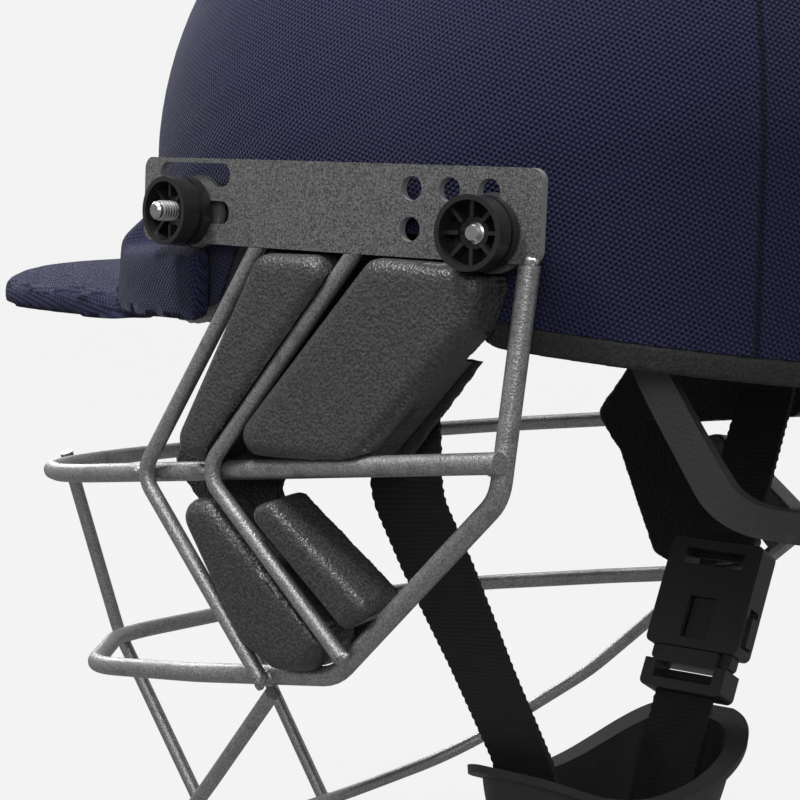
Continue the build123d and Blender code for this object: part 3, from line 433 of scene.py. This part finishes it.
def make_materials(scene):
    make_groups()
    knitted_cloth(scene.helmet_cover)
    moulded_foam(scene.helmet_padding)
    brushed_backing()
    comfort_cloth()
    grey_felt()
    soft_edging()
    woven_webbing()
    moulded_plastic("knob_plastic", (0.021, 0.021, 0.0213), 0.3, 0.00005)
    moulded_plastic("cup_plastic", (0.034, 0.034, 0.0345), 0.5, 0.0001)
    moulded_plastic("buckle_plastic", (0.042, 0.042, 0.0425), 0.4, 0.00006)
    moulded_plastic("cradle_plastic", (0.046, 0.046, 0.0465), 0.45, 0.0001)
    moulded_plastic("shell_plastic", (0.04, 0.04, 0.042), 0.45, 0.00005)
    moulded_plastic("washer_rubber", (0.15, 0.15, 0.15), 0.6, 0.00008)
    satin_coat(scene.helmet_metal)
    powder_coat(scene.helmet_metal)
    plated_steel("zinc_plate", (0.66, 0.66, 0.67), 0.28)
    plated_steel("black_rivet", (0.12, 0.12, 0.125), 0.4)
    liner_foam()


# Short ways to shape pieces


def only(obj):
    """Select and activate this object alone."""
    bpy.ops.object.select_all(action="DESELECT")
    obj.select_set(True)
    bpy.context.view_layer.objects.active = obj


def join_all(pieces, name):
    """Join pieces into the first one and name it."""
    only(pieces[0])
    for piece in pieces:
        piece.select_set(True)
    bpy.ops.object.join()
    pieces[0].name = name
    return pieces[0]


def points_of(obj):
    spots = np.empty(len(obj.data.vertices) * 3, np.float32)
    obj.data.vertices.foreach_get("co", spots)
    return spots.reshape(-1, 3).astype(float)


def normals_of(obj):
    facing = np.empty(len(obj.data.vertices) * 3, np.float32)
    obj.data.vertices.foreach_get("normal", facing)
    return facing.reshape(-1, 3).astype(float)


def move_points(obj, spots):
    obj.data.vertices.foreach_set("co", spots.astype(np.float32).ravel())
    obj.data.update()


def corners_of(obj):
    """Number of the point at each corner of each face."""
    corners = np.empty(len(obj.data.loops), np.int32)
    obj.data.loops.foreach_get("vertex_index", corners)
    return corners


def faces_of(obj):
    """Way that each face looks, and how many corners it has."""
    facing = np.empty(len(obj.data.polygons) * 3, np.float32)
    obj.data.polygons.foreach_get("normal", facing)
    counts = np.empty(len(obj.data.polygons), np.int32)
    obj.data.polygons.foreach_get("loop_total", counts)
    return facing.reshape(-1, 3), counts


def set_map(obj, flat):
    """Fill the piece's UV map with a place for each corner."""
    layers = obj.data.uv_layers
    layer = layers[0] if layers else layers.new(name="UVMap")
    layer.data.foreach_set("uv", flat.astype(np.float32).ravel())


def modify(obj, kind, **settings):
    only(obj)
    modifier = obj.modifiers.new(kind.title(), kind)
    for key, value in settings.items():
        setattr(modifier, key, value)
    bpy.ops.object.modifier_apply(modifier=modifier.name)


def place_mesh(obj):
    """Carry the object's place into its mesh."""
    only(obj)
    bpy.ops.object.transform_apply(location=True, rotation=True, scale=True)
    return obj


def copy_of(node, name):
    """A merged copy of a CAD node's mesh as a piece of its own."""
    piece = bpy.data.objects.new(name, frame["nodes"][node].data.copy())
    bpy.context.scene.collection.objects.link(piece)
    only(piece)
    bpy.ops.object.mode_set(mode="EDIT")
    bpy.ops.mesh.select_all(action="SELECT")
    bpy.ops.mesh.remove_doubles(threshold=1e-5)
    bpy.ops.object.mode_set(mode="OBJECT")
    return piece


def smooth_shade(obj, angle=None):
    only(obj)
    if angle is None:
        bpy.ops.object.shade_smooth()
    else:
        bpy.ops.object.shade_smooth_by_angle(angle=math.radians(angle))


def soft_copy(node, name, voxel, rounds):
    """A CAD solid remeshed and relaxed, so that its edges turn soft."""
    piece = copy_of(node, name)
    piece.data.remesh_voxel_size = voxel
    bpy.ops.object.voxel_remesh()
    if rounds:
        modify(piece, "SMOOTH", factor=0.5, iterations=rounds)
    smooth_shade(piece)
    return piece


def roughen(obj, depth, size, share=1.0):
    """Push the points in and out along their normals by smooth noise."""
    spots = points_of(obj)
    facing = normals_of(obj)
    share = np.broadcast_to(share, len(spots))
    for index, spot in enumerate(spots):
        if share[index] > 0:
            spots[index] += facing[index] * depth * share[index] * noise.noise(Vector(spot) / size)
    move_points(obj, spots)


def lay_cloth(obj):
    """UV map in metres, laid flat along the axis that each face looks along."""
    facing, counts = faces_of(obj)
    axis = np.repeat(np.abs(facing).argmax(1), counts)[:, None]
    spot = points_of(obj)[corners_of(obj)]
    set_map(obj, np.where(axis == 0, spot[:, [1, 2]], np.where(axis == 1, spot[:, [0, 2]], spot[:, [0, 1]])))


def level_place(spots):
    """Turn round the helmet's upright axis from straight ahead, and distance from that axis."""
    return np.arctan2(spots[:, 0], -spots[:, 1]), np.hypot(spots[:, 0], spots[:, 1])


PEAK_WRAP_RADIUS = 0.13
ROLL_SLICES = 120
ROLL_SLOPE = 0.014


def wrap_cloth(obj):
    """UV map in metres that runs round the head and over the edges of the peak without a break."""
    spot = points_of(obj)[corners_of(obj)]
    turn, reach = level_place(spot)
    set_map(obj, np.stack([turn * PEAK_WRAP_RADIUS, spot[:, 2] - reach], 1))


def flare_roll(spots, lift):
    """Raise the inner top of the roll, so that it runs up against the shell."""
    turn, reach = level_place(spots)
    slice_of = np.clip(((turn + math.pi) / math.tau * ROLL_SLICES).astype(int), 0, ROLL_SLICES - 1)
    outer = np.zeros(ROLL_SLICES)
    np.maximum.at(outer, slice_of, reach)
    middles = (np.arange(ROLL_SLICES) + 0.5) / ROLL_SLICES * math.tau - math.pi
    used = outer > 0
    edge = np.interp(turn, middles[used], outer[used])
    depth = np.clip((edge - reach) / ROLL_SLOPE, 0, 1)
    low, high = spots[:, 2].min(), spots[:, 2].max()
    top = np.clip((spots[:, 2] - low) / (high - low) * 1.4 - 0.4, 0, 1)
    spots = spots.copy()
    spots[:, 2] += lift * top * depth ** 1.3
    return spots


def dress(obj, material_name, body, nodes=()):
    """Give a finished piece its material and its body, and hide the CAD nodes it stands for."""
    obj.data.materials.clear()
    obj.data.materials.append(FINISHES[material_name])
    for node in nodes:
        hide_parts(node)
    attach(obj, body)


def paint(material_name, *nodes):
    """Give CAD nodes that stay a better material."""
    for node in nodes:
        data = frame["nodes"][node].data
        data.materials.clear()
        data.materials.append(FINISHES[material_name])


def both(name):
    return [name + "_" + side for side in SIDES]


# Cover


DOME_WIDE = 0.108
DOME_STRETCH = 0.0145
DOME_MIDDLE = 0.0025
SHOULDER_Z = 0.044
SHOULDER_ROUND = 0.085
CROWN_Z = 0.15


def dome_arcs():
    """Crown arc's radius and centre height, and the angle where the shoulder's arc runs into it."""
    rise = CROWN_Z - SHOULDER_Z
    wide = DOME_WIDE - SHOULDER_ROUND
    radius = (wide ** 2 + rise ** 2 - SHOULDER_ROUND ** 2) / (2 * (rise - SHOULDER_ROUND))
    return radius, CROWN_Z - radius, math.atan2(SHOULDER_Z - CROWN_Z + radius, wide)


def off_spine(spots):
    """Level distance from the plan's middle line: across, along and in all."""
    ahead = spots[:, 1] - DOME_MIDDLE
    beyond = np.sign(ahead) * np.maximum(np.abs(ahead) - DOME_STRETCH, 0)
    return spots[:, 0], beyond, np.hypot(spots[:, 0], beyond)


def dome_normals(spots):
    """Way that the dome's outside faces at each point."""
    radius, centre, meet = dome_arcs()
    x, y, out = off_spine(spots)
    z = spots[:, 2]
    rise = np.arctan2(z - centre, np.maximum(out, 1e-6))
    shoulder = np.arctan2(z - SHOULDER_Z, np.maximum(out - DOME_WIDE + SHOULDER_ROUND, 1e-6))
    rise = np.where(rise > meet, rise, np.clip(shoulder, 0, None))
    level = np.stack([x, y], 1) / np.maximum(out, 1e-6)[:, None]
    return np.concatenate([level * np.cos(rise)[:, None], np.sin(rise)[:, None]], 1)


def shade_cover(obj):
    """Smooth shading from the dome's own form outside, and flat edges kept crisp."""
    facing, counts = faces_of(obj)
    face_way = np.repeat(facing, counts, axis=0).astype(float)
    true_way = dome_normals(points_of(obj))[corners_of(obj)]
    match = (face_way * true_way).sum(1)[:, None]
    ways = np.where(match > 0.8, true_way, np.where(match < -0.8, -true_way, face_way))
    bpy.ops.object.shade_smooth()
    obj.data.normals_split_custom_set([tuple(way) for way in ways])


def lay_cover(obj):
    """UV map in metres round the shell's wall, and flat over the crown."""
    facing, counts = faces_of(obj)
    crown = np.repeat(facing[:, 2], counts) > 0.9
    spot = points_of(obj)[corners_of(obj)]
    x, y, z = spot.T
    starts = np.concatenate([[0], np.cumsum(counts)[:-1]])
    side = np.sign(np.repeat(np.add.reduceat(x, starts), counts))
    radius, centre, meet = dome_arcs()
    _, beyond, out = off_spine(spot)
    ahead = y - DOME_MIDDLE
    turn = np.arctan2(np.abs(beyond), np.maximum(x * side, 0))
    along = np.sign(ahead) * (np.minimum(np.abs(ahead), DOME_STRETCH) + DOME_WIDE * turn)
    front = DOME_STRETCH + DOME_WIDE * math.pi / 2
    along = np.where(side > 0, along, -2 * front - along)
    rise = np.arctan2(z - centre, out)
    shoulder = SHOULDER_ROUND * np.clip(np.arctan2(z - SHOULDER_Z, out - DOME_WIDE + SHOULDER_ROUND), 0, meet)
    up = np.minimum(z, SHOULDER_Z) + shoulder + radius * np.clip(rise - meet, 0, None)
    set_map(obj, np.stack([np.where(crown, x, along), np.where(crown, y, up)], 1))


class HELMET_OT_cover(bpy.types.Operator):
    """Knitted cloth over the hard shell"""
    bl_idname = "helmet.cover"
    bl_label = "Knitted Cover"

    def execute(self, context):
        cover = copy_of("cloth_cover", "knitted_cover")
        lay_cover(cover)
        shade_cover(cover)
        dress(cover, "knitted_cloth", "helmet", ["cloth_cover"])
        paint("shell_plastic", "outer_shell", "peak_board")
        return {"FINISHED"}


PEAK_FILL = 0.0006
PEAK_VOXEL = 0.0014
PEAK_RIPPLE = 0.0005


class HELMET_OT_peak(bpy.types.Operator):
    """Cloth covered peak and the padded roll at its root"""
    bl_idname = "helmet.peak"
    bl_label = "Peak"

    def execute(self, context):
        cover = context.scene.helmet_cover
        peak = copy_of("peak_cover", "peak_and_roll_cloth")
        board = copy_of("peak_board", "peak_filling")
        roll = copy_of("peak_root_band", "peak_root_roll")
        move_points(board, points_of(board) + normals_of(board) * PEAK_FILL)
        move_points(roll, flare_roll(points_of(roll), cover.roll_lift))
        join_all([peak, board, roll], "peak_and_roll_cloth")
        peak.data.remesh_voxel_size = PEAK_VOXEL
        bpy.ops.object.voxel_remesh()
        modify(peak, "SMOOTH", factor=0.5, iterations=cover.peak_softness)
        spots = points_of(peak)
        facing = normals_of(peak)
        for index, spot in enumerate(spots):
            pull = noise.noise(Vector((spot[0] * 22, spot[1] * 30, spot[2] * 120)))
            spots[index] += facing[index] * PEAK_RIPPLE * pull
        move_points(peak, spots + (0, 0, cover.peak_lift))
        smooth_shade(peak)
        wrap_cloth(peak)
        dress(peak, "knitted_cloth", "helmet", ["peak_cover", "peak_root_band"])
        return {"FINISHED"}


class HELMET_OT_brow_band(bpy.types.Operator):
    """Felt band inside the brow"""
    bl_idname = "helmet.brow_band"
    bl_label = "Brow Band"

    def execute(self, context):
        felt = soft_copy("brow_band", "brow_felt", 0.0013, 5)
        roughen(felt, context.scene.helmet_padding.felt_fuzz, 0.0021)
        dress(felt, "grey_felt", "helmet", ["brow_band"])
        return {"FINISHED"}


class HELMET_OT_edging(bpy.types.Operator):
    """Soft black edging along the shell's rear rim"""
    bl_idname = "helmet.edging"
    bl_label = "Edging"

    def execute(self, context):
        edging = soft_copy("edge_trim", "rim_edging", 0.0009, 4)
        dress(edging, "soft_edging", "helmet", ["edge_trim"])
        return {"FINISHED"}


class HELMET_OT_inside(bpy.types.Operator):
    """Foam liner and the comfort pads on it"""
    bl_idname = "helmet.inside"
    bl_label = "Inside"

    def execute(self, context):
        paint("liner_foam", "foam_liner")
        for place in ("front", "rear", "left", "right", "crown"):
            node = "comfort_pad_" + place
            pad = soft_copy(node, "comfort_cushion_" + place, 0.0016, 9)
            lay_cloth(pad)
            dress(pad, "comfort_cloth", "helmet", [node])
        return {"FINISHED"}


class HELMET_OT_side_padding(bpy.types.Operator):
    """Moulded pads between the guard's wires and their backing"""
    bl_idname = "helmet.side_padding"
    bl_label = "Side Padding"

    def execute(self, context):
        padding = context.scene.helmet_padding
        for side in SIDES:
            for place in ("upper_front", "upper_rear", "lower_front", "lower_rear"):
                node = "padding_" + place + "_" + side
                pad = soft_copy(node, "moulded_pad_" + place + "_" + side, 0.0009, padding.softness)
                dress(pad, "moulded_foam", "helmet", [node])
            node = "padding_backing_" + side
            backing = soft_copy(node, "cheek_backing_" + side, 0.0008, 2)
            cut = 1 - np.abs(normals_of(backing)[:, 0])
            roughen(backing, padding.rag, 0.0022, np.clip(cut, 0, 1))
            dress(backing, "brushed_backing", "helmet", [node])
        return {"FINISHED"}


# Guard and fasteners


WELDS = (
    ((0.1093, -0.0570, -0.0375), (0, 1, 0)), ((0.1112, -0.0325, -0.0347), (0, 1, 0)),
    ((0.1112, -0.0372, -0.0347), (0, 1, 0)), ((0.1093, -0.0615, -0.0375), (0, 1, 0)),
    ((0.1072, -0.0200, -0.0860), (0, 0, 1)), ((0.1097, 0.0083, -0.0757), (0, 0.8, 0.4)),
    ((0.1163, 0.0553, -0.0246), (0, 0, 1)), ((0.0450, -0.1560, -0.0487), (1, 0, 0)),
    ((0.0270, -0.1525, -0.1050), (1, 0, 0)), ((0.0262, -0.1115, -0.1630), (1, 0, 0)),
    ((0.1040, -0.0200, -0.0855), (0, 1, 0)), ((0.1085, 0.0593, 0.0195), (0, 1, 0)))
"""Welds on the left: where each is and which way its bead runs."""


def make_bead(spot, along, size):
    """A lumpy bead of weld, longer than it is wide."""
    bpy.ops.object.select_all(action="DESELECT")
    bpy.ops.mesh.primitive_ico_sphere_add(subdivisions=3, radius=size, location=(0, 0, 0))
    bead = bpy.context.object
    spots = points_of(bead)
    way = Vector(along).normalized()
    turn = np.array(way.to_track_quat("X", "Z").to_matrix())
    spots = spots * (1.25, 0.72, 0.72)
    for index, point in enumerate(spots):
        spots[index] = point * (1 + 0.22 * noise.noise(Vector(point) * 900 + Vector(spot) * 97))
    move_points(bead, spots @ turn.T + np.array(spot))
    return bead


class HELMET_OT_guard(bpy.types.Operator):
    """Face guard: side plates, wires and the beads that weld them"""
    bl_idname = "helmet.guard"
    bl_label = "Face Guard"

    def execute(self, context):
        metal = context.scene.helmet_metal
        paint("powder_coat", *both("side_plate"))
        paint("satin_coat", "guard_lower_loop", "guard_upper_loop", "guard_chin_bar", *both("guard_front_strut"),
              *both("guard_rear_strut"), *both("guard_upright"))
        for side, sign in (("left", 1), ("right", -1)):
            beads = [make_bead((spot[0] * sign, *spot[1:]), (along[0] * sign, *along[1:]), metal.bead)
                     for spot, along in WELDS]
            welds = join_all(beads, "weld_beads_" + side)
            smooth_shade(welds)
            dress(welds, "satin_coat", "helmet")
        return {"FINISHED"}


STUD_RADIUS = 0.0025
STUD_HEAD = 0.006
STUD_SEAT_AND_TIP = {"front": (-0.0110, 0.0115), "rear": (-0.0137, 0.0067)}


def make_threaded_stud(seat, tip, pitch):
    """Stud along local X: flat head behind the seat, then thread to a chamfered tip."""
    radius, head = STUD_RADIUS, STUD_HEAD
    root = radius - pitch * 0.55
    line = [(seat - 0.0014, 0), (seat - 0.0014, head - 0.0004), (seat - 0.001, head), (seat, head), (seat, root)]
    steps = int((tip - seat - 0.0012) / pitch)
    for step in range(steps):
        start = seat + 0.0003 + step * pitch
        line += [(start, root), (start + pitch * 0.36, radius), (start + pitch * 0.52, radius),
                 (start + pitch * 0.88, root)]
    line += [(tip - 0.0006, radius - 0.0003), (tip, radius - 0.0009), (tip, 0)]
    bpy.ops.object.select_all(action="DESELECT")
    bpy.ops.mesh.primitive_plane_add(size=0.001)
    stud = bpy.context.object
    mesh = stud.data
    mesh.clear_geometry()
    mesh.from_pydata([(x, r, 0) for x, r in line], [(i, i + 1) for i in range(len(line) - 1)], [])
    only(stud)
    bpy.ops.object.mode_set(mode="EDIT")
    bpy.ops.mesh.select_all(action="SELECT")
    bpy.ops.mesh.spin(steps=32, angle=math.tau, center=(0, 0, 0), axis=(1, 0, 0))
    bpy.ops.mesh.select_all(action="SELECT")
    bpy.ops.mesh.remove_doubles(threshold=1e-6)
    bpy.ops.mesh.normals_make_consistent(inside=False)
    bpy.ops.object.mode_set(mode="OBJECT")
    return stud


class HELMET_OT_fasteners(bpy.types.Operator):
    """Threaded studs, hand knobs, washers and feet"""
    bl_idname = "helmet.fasteners"
    bl_label = "Fasteners"

    def execute(self, context):
        metal = context.scene.helmet_metal
        studs = []
        for joint in frame["joints"]:
            if not joint["name"].startswith("knob_"):
                continue
            seat, tip = STUD_SEAT_AND_TIP["front" if "front" in joint["name"] else "rear"]
            stud = make_threaded_stud(seat, tip, metal.thread_pitch)
            turn = Vector(joint["axis"]).to_track_quat("X", "Z").to_matrix().to_4x4()
            stud.data.transform(Matrix.Translation(Vector(joint["pos_m"])) @ turn)
            studs.append(stud)
        studs = join_all(studs, "threaded_studs")
        smooth_shade(studs, 25)
        dress(studs, "zinc_plate", "helmet", ["guard_studs"])
        paint("knob_plastic", *both("knob_front"), *both("knob_rear"), "stud_feet")
        paint("washer_rubber", "stud_washers")
        return {"FINISHED"}


# Harness


LEFT_ROUTE = ((0.0970, 0.014, 0.0252), (0.0930, 0.014, -0.0380), (0.0410, 0.014, -0.1140),
              (0.0278, 0.014, -0.1464), (-0.0278, 0.014, -0.1464), (-0.0410, 0.014, -0.1140),
              (-0.0458, 0.014, -0.1046))
RIGHT_ROUTE = ((-0.0970, 0.014, 0.0252), (-0.0880, 0.014, -0.0220), (-0.0622, 0.014, -0.0724))
LEFT_TWIST = ((0, 0), (0.12, 6), (0.3, 14), (0.42, 4), (1, 0))
RIGHT_TWIST = ((0, 0), (0.4, -5), (1, 0))
STRAP_BEND = 0.018
STRAP_STEP = 0.0009
STRAP_COLUMNS = 14
SCALLOP = 0.00022


def strap_route(points, radius, step):
    """Places along straight runs with rounded corners, evenly spaced, and the length up to each."""
    line = [Vector(points[0])]
    for before, corner, after in zip(points, points[1:-1], points[2:]):
        before, corner, after = Vector(before), Vector(corner), Vector(after)
        back = (before - corner).normalized()
        on = (after - corner).normalized()
        half = math.acos(max(-1, min(1, back.dot(on)))) / 2
        reach = min(radius / math.tan(half), (before - corner).length * 0.45, (after - corner).length * 0.45)
        start, end = corner + back * reach, corner + on * reach
        for share in np.linspace(0, 1, 13):
            line.append(start.lerp(corner, share).lerp(corner.lerp(end, share), share))
    line.append(Vector(points[-1]))
    lengths = np.concatenate([[0], np.cumsum([(b - a).length for a, b in zip(line, line[1:])])])
    count = max(2, round(lengths[-1] / step))
    even = np.linspace(0, lengths[-1], count + 1)
    xyz = np.array([list(p) for p in line])
    spots = np.stack([np.interp(even, lengths, xyz[:, k]) for k in range(3)], 1)
    return spots, even


def make_strap(name, points, twist, harness):
    """Woven strap laid along a route, flat across Y, with scalloped edges and a slight twist along it."""
    spots, lengths = strap_route(points, STRAP_BEND, STRAP_STEP)
    rows, columns = len(spots) - 1, STRAP_COLUMNS
    bpy.ops.object.select_all(action="DESELECT")
    bpy.ops.mesh.primitive_grid_add(x_subdivisions=columns, y_subdivisions=rows, size=1)
    strap = bpy.context.object
    strap.name = name
    grid = points_of(strap)
    across = np.rint((grid[:, 0] + 0.5) * columns).astype(int)
    along = np.rint((grid[:, 1] + 0.5) * rows).astype(int)
    way = np.gradient(spots, axis=0)
    way /= np.linalg.norm(way, axis=1)[:, None]
    flat = np.array([0.0, 1.0, 0.0])
    out = np.cross(flat, way)
    share = lengths / lengths[-1]
    lean = np.radians(np.interp(share, [s for s, _ in twist], [a for _, a in twist]))
    edge = across / columns - 0.5
    scallop = SCALLOP * np.sin(lengths[along] / harness.pick * math.tau + edge * 3) * (np.abs(edge) > 0.42)
    reach = edge * harness.strap_width + np.sign(edge) * scallop
    lean = lean[along][:, None]
    side = flat * np.cos(lean) + out[along] * np.sin(lean)
    crown = (0.25 - edge ** 2)[:, None] * 0.0006
    move_points(strap, spots[along] + side * reach[:, None] + out[along] * crown)
    set_map(strap, np.stack([edge * harness.strap_width, lengths[along]], 1)[corners_of(strap)])
    modify(strap, "SOLIDIFY", thickness=harness.strap_thickness, offset=0.0)
    smooth_shade(strap, 50)
    return strap


class HELMET_OT_chin_harness(bpy.types.Operator):
    """Webbing, tabs, chin cup and side release buckle"""
    bl_idname = "helmet.chin_harness"
    bl_label = "Chin Harness"

    def execute(self, context):
        harness = context.scene.helmet_harness
        left = make_strap("webbing_left", LEFT_ROUTE, LEFT_TWIST, harness)
        dress(left, "woven_webbing", "chin_harness", ["chin_strap_left"])
        right = make_strap("webbing_right", RIGHT_ROUTE, RIGHT_TWIST, harness)
        dress(right, "woven_webbing", "chin_harness", ["chin_strap_right"])
        paint("knob_plastic", *both("strap_tab"))
        paint("cup_plastic", "chin_cup")
        paint("buckle_plastic", "buckle_socket", "buckle_tongue", "buckle_prong_front", "buckle_prong_rear")
        paint("black_rivet", "strap_pins")
        return {"FINISHED"}


class HELMET_OT_cradle(bpy.types.Operator):
    """Springy band round the nape and its rivets"""
    bl_idname = "helmet.cradle"
    bl_label = "Rear Cradle"

    def execute(self, context):
        paint("cradle_plastic", "rear_cradle")
        paint("black_rivet", "cradle_pins")
        return {"FINISHED"}


# Studio


BACKDROP = (0.896, 0.896, 0.896)
FLOOR_SEEN = (0.887, 0.887, 0.887)
FLOOR_GLOW = (0.22, 0.22, 0.22)
SKY_LOW = (0.10, 0.10, 0.10)
SKY_HIGH = (0.62, 0.62, 0.62)
CAMERA_PLACE = (0.4642, 0.3061, 0.0264)
CAMERA_RIGHT = (-0.6228, 0.7821, 0.0188)
CAMERA_BACK = (0.7803, 0.6193, 0.0869)
CAMERA_LENS = 88.96


def make_light(name, spot, aim, size, power):
    bpy.ops.object.select_all(action="DESELECT")
    bpy.ops.object.light_add(type="AREA", location=spot)
    light = bpy.context.object
    light.name = name
    light.data.size = size
    light.data.energy = power
    light.rotation_euler = (Vector(aim) - Vector(spot)).to_track_quat("-Z", "Y").to_euler()


class HELMET_OT_stage(bpy.types.Operator):
    """Pale floor, soft studio light and the camera"""
    bl_idname = "helmet.stage"
    bl_label = "Stage"

    def execute(self, context):
        scene = context.scene
        bpy.ops.object.select_all(action="DESELECT")
        bpy.ops.mesh.primitive_plane_add(size=16, location=(0, 0, cad_low.z - 0.0005))
        floor = place_mesh(context.object)
        floor.name = "floor"
        tree, shader, coords = surface("pale_floor", 0.95, Specular_IOR_Level=0.0, Emission_Strength=1.0)
        shade = add_node(tree, "ShaderNodeTexNoise", {"Vector": coords["Object"], "Scale": 1.2})
        shade = ramp(tree, shade.outputs[0], 0.3, 0.7)
        colour_from(tree, shader, blend_colour(tree, shade, (0.010, 0.010, 0.010), (0.011, 0.011, 0.011)))
        seen = tree.nodes.new("ShaderNodeLightPath").outputs["Is Camera Ray"]
        tree.links.new(blend_colour(tree, seen, FLOOR_GLOW, FLOOR_SEEN), shader.inputs["Emission Color"])
        floor.data.materials.append(FINISHES["pale_floor"])
        world = bpy.data.worlds.new("studio")
        scene.world = world
        world.use_nodes = True
        tree = world.node_tree
        seen = tree.nodes.new("ShaderNodeLightPath").outputs["Is Camera Ray"]
        way = tree.nodes.new("ShaderNodeTexCoord").outputs["Generated"]
        height = add_node(tree, "ShaderNodeSeparateXYZ", {0: way}).outputs[2]
        glow = blend_colour(tree, ramp(tree, height, -0.3, 0.9), SKY_LOW, SKY_HIGH)
        tree.links.new(blend_colour(tree, seen, glow, BACKDROP), tree.nodes["Background"].inputs["Color"])
        make_light("key_light", (0.35, -0.12, 0.62), (0.08, 0, 0), 0.16, 4.5)
        make_light("side_light", (1.1, 0.7, 0.5), (0.05, 0, 0), 0.5, 3.5)
        make_light("rim_light", (-0.4, -1.0, 0.5), (0, -0.05, -0.05), 0.5, 5)
        scene.view_settings.view_transform = "Standard"
        bpy.ops.object.select_all(action="DESELECT")
        bpy.ops.object.camera_add(location=CAMERA_PLACE)
        camera = context.object
        camera.name = "photo_camera"
        right = Vector(CAMERA_RIGHT).normalized()
        back = Vector(CAMERA_BACK).normalized()
        up = back.cross(right).normalized()
        right = up.cross(back)
        camera.rotation_euler = Matrix((right, up, back)).transposed().to_euler()
        camera.data.lens = CAMERA_LENS
        camera.data.sensor_width = 36
        camera.data.clip_start = 0.01
        scene.camera = camera
        return {"FINISHED"}


OPERATORS = (HELMET_OT_stage, HELMET_OT_cover, HELMET_OT_peak, HELMET_OT_brow_band, HELMET_OT_edging,
             HELMET_OT_inside, HELMET_OT_side_padding, HELMET_OT_guard, HELMET_OT_fasteners,
             HELMET_OT_chin_harness, HELMET_OT_cradle)


class HELMET_PT_pieces(bpy.types.Panel):
    """Pieces of the helmet, each with its button, and the settings"""
    bl_idname = "HELMET_PT_pieces"
    bl_label = "Cricket Helmet"
    bl_space_type = "VIEW_3D"
    bl_region_type = "UI"
    bl_category = "Helmet"

    def draw(self, context):
        for operator in OPERATORS:
            self.layout.operator(operator.bl_idname)
        for name, settings in SETTINGS.items():
            box = self.layout.box()
            box.label(text=settings.__doc__)
            for prop in settings.__annotations__:
                box.prop(getattr(context.scene, name), prop)


def register():
    for settings in SETTINGS.values():
        bpy.utils.register_class(settings)
    for name, settings in SETTINGS.items():
        setattr(bpy.types.Scene, name, PointerProperty(type=settings))
    for operator in OPERATORS:
        bpy.utils.register_class(operator)
    bpy.utils.register_class(HELMET_PT_pieces)


def unregister():
    bpy.utils.unregister_class(HELMET_PT_pieces)
    for operator in reversed(OPERATORS):
        bpy.utils.unregister_class(operator)
    for name in SETTINGS:
        delattr(bpy.types.Scene, name)
    for settings in SETTINGS.values():
        bpy.utils.unregister_class(settings)


def main():
    register()
    make_materials(bpy.context.scene)
    bpy.ops.helmet.stage()
    bpy.ops.helmet.cover()
    bpy.ops.helmet.peak()
    bpy.ops.helmet.brow_band()
    bpy.ops.helmet.edging()
    bpy.ops.helmet.inside()
    bpy.ops.helmet.side_padding()
    bpy.ops.helmet.guard()
    bpy.ops.helmet.fasteners()
    bpy.ops.helmet.chin_harness()
    bpy.ops.helmet.cradle()


if __name__ == "__main__":
    main()
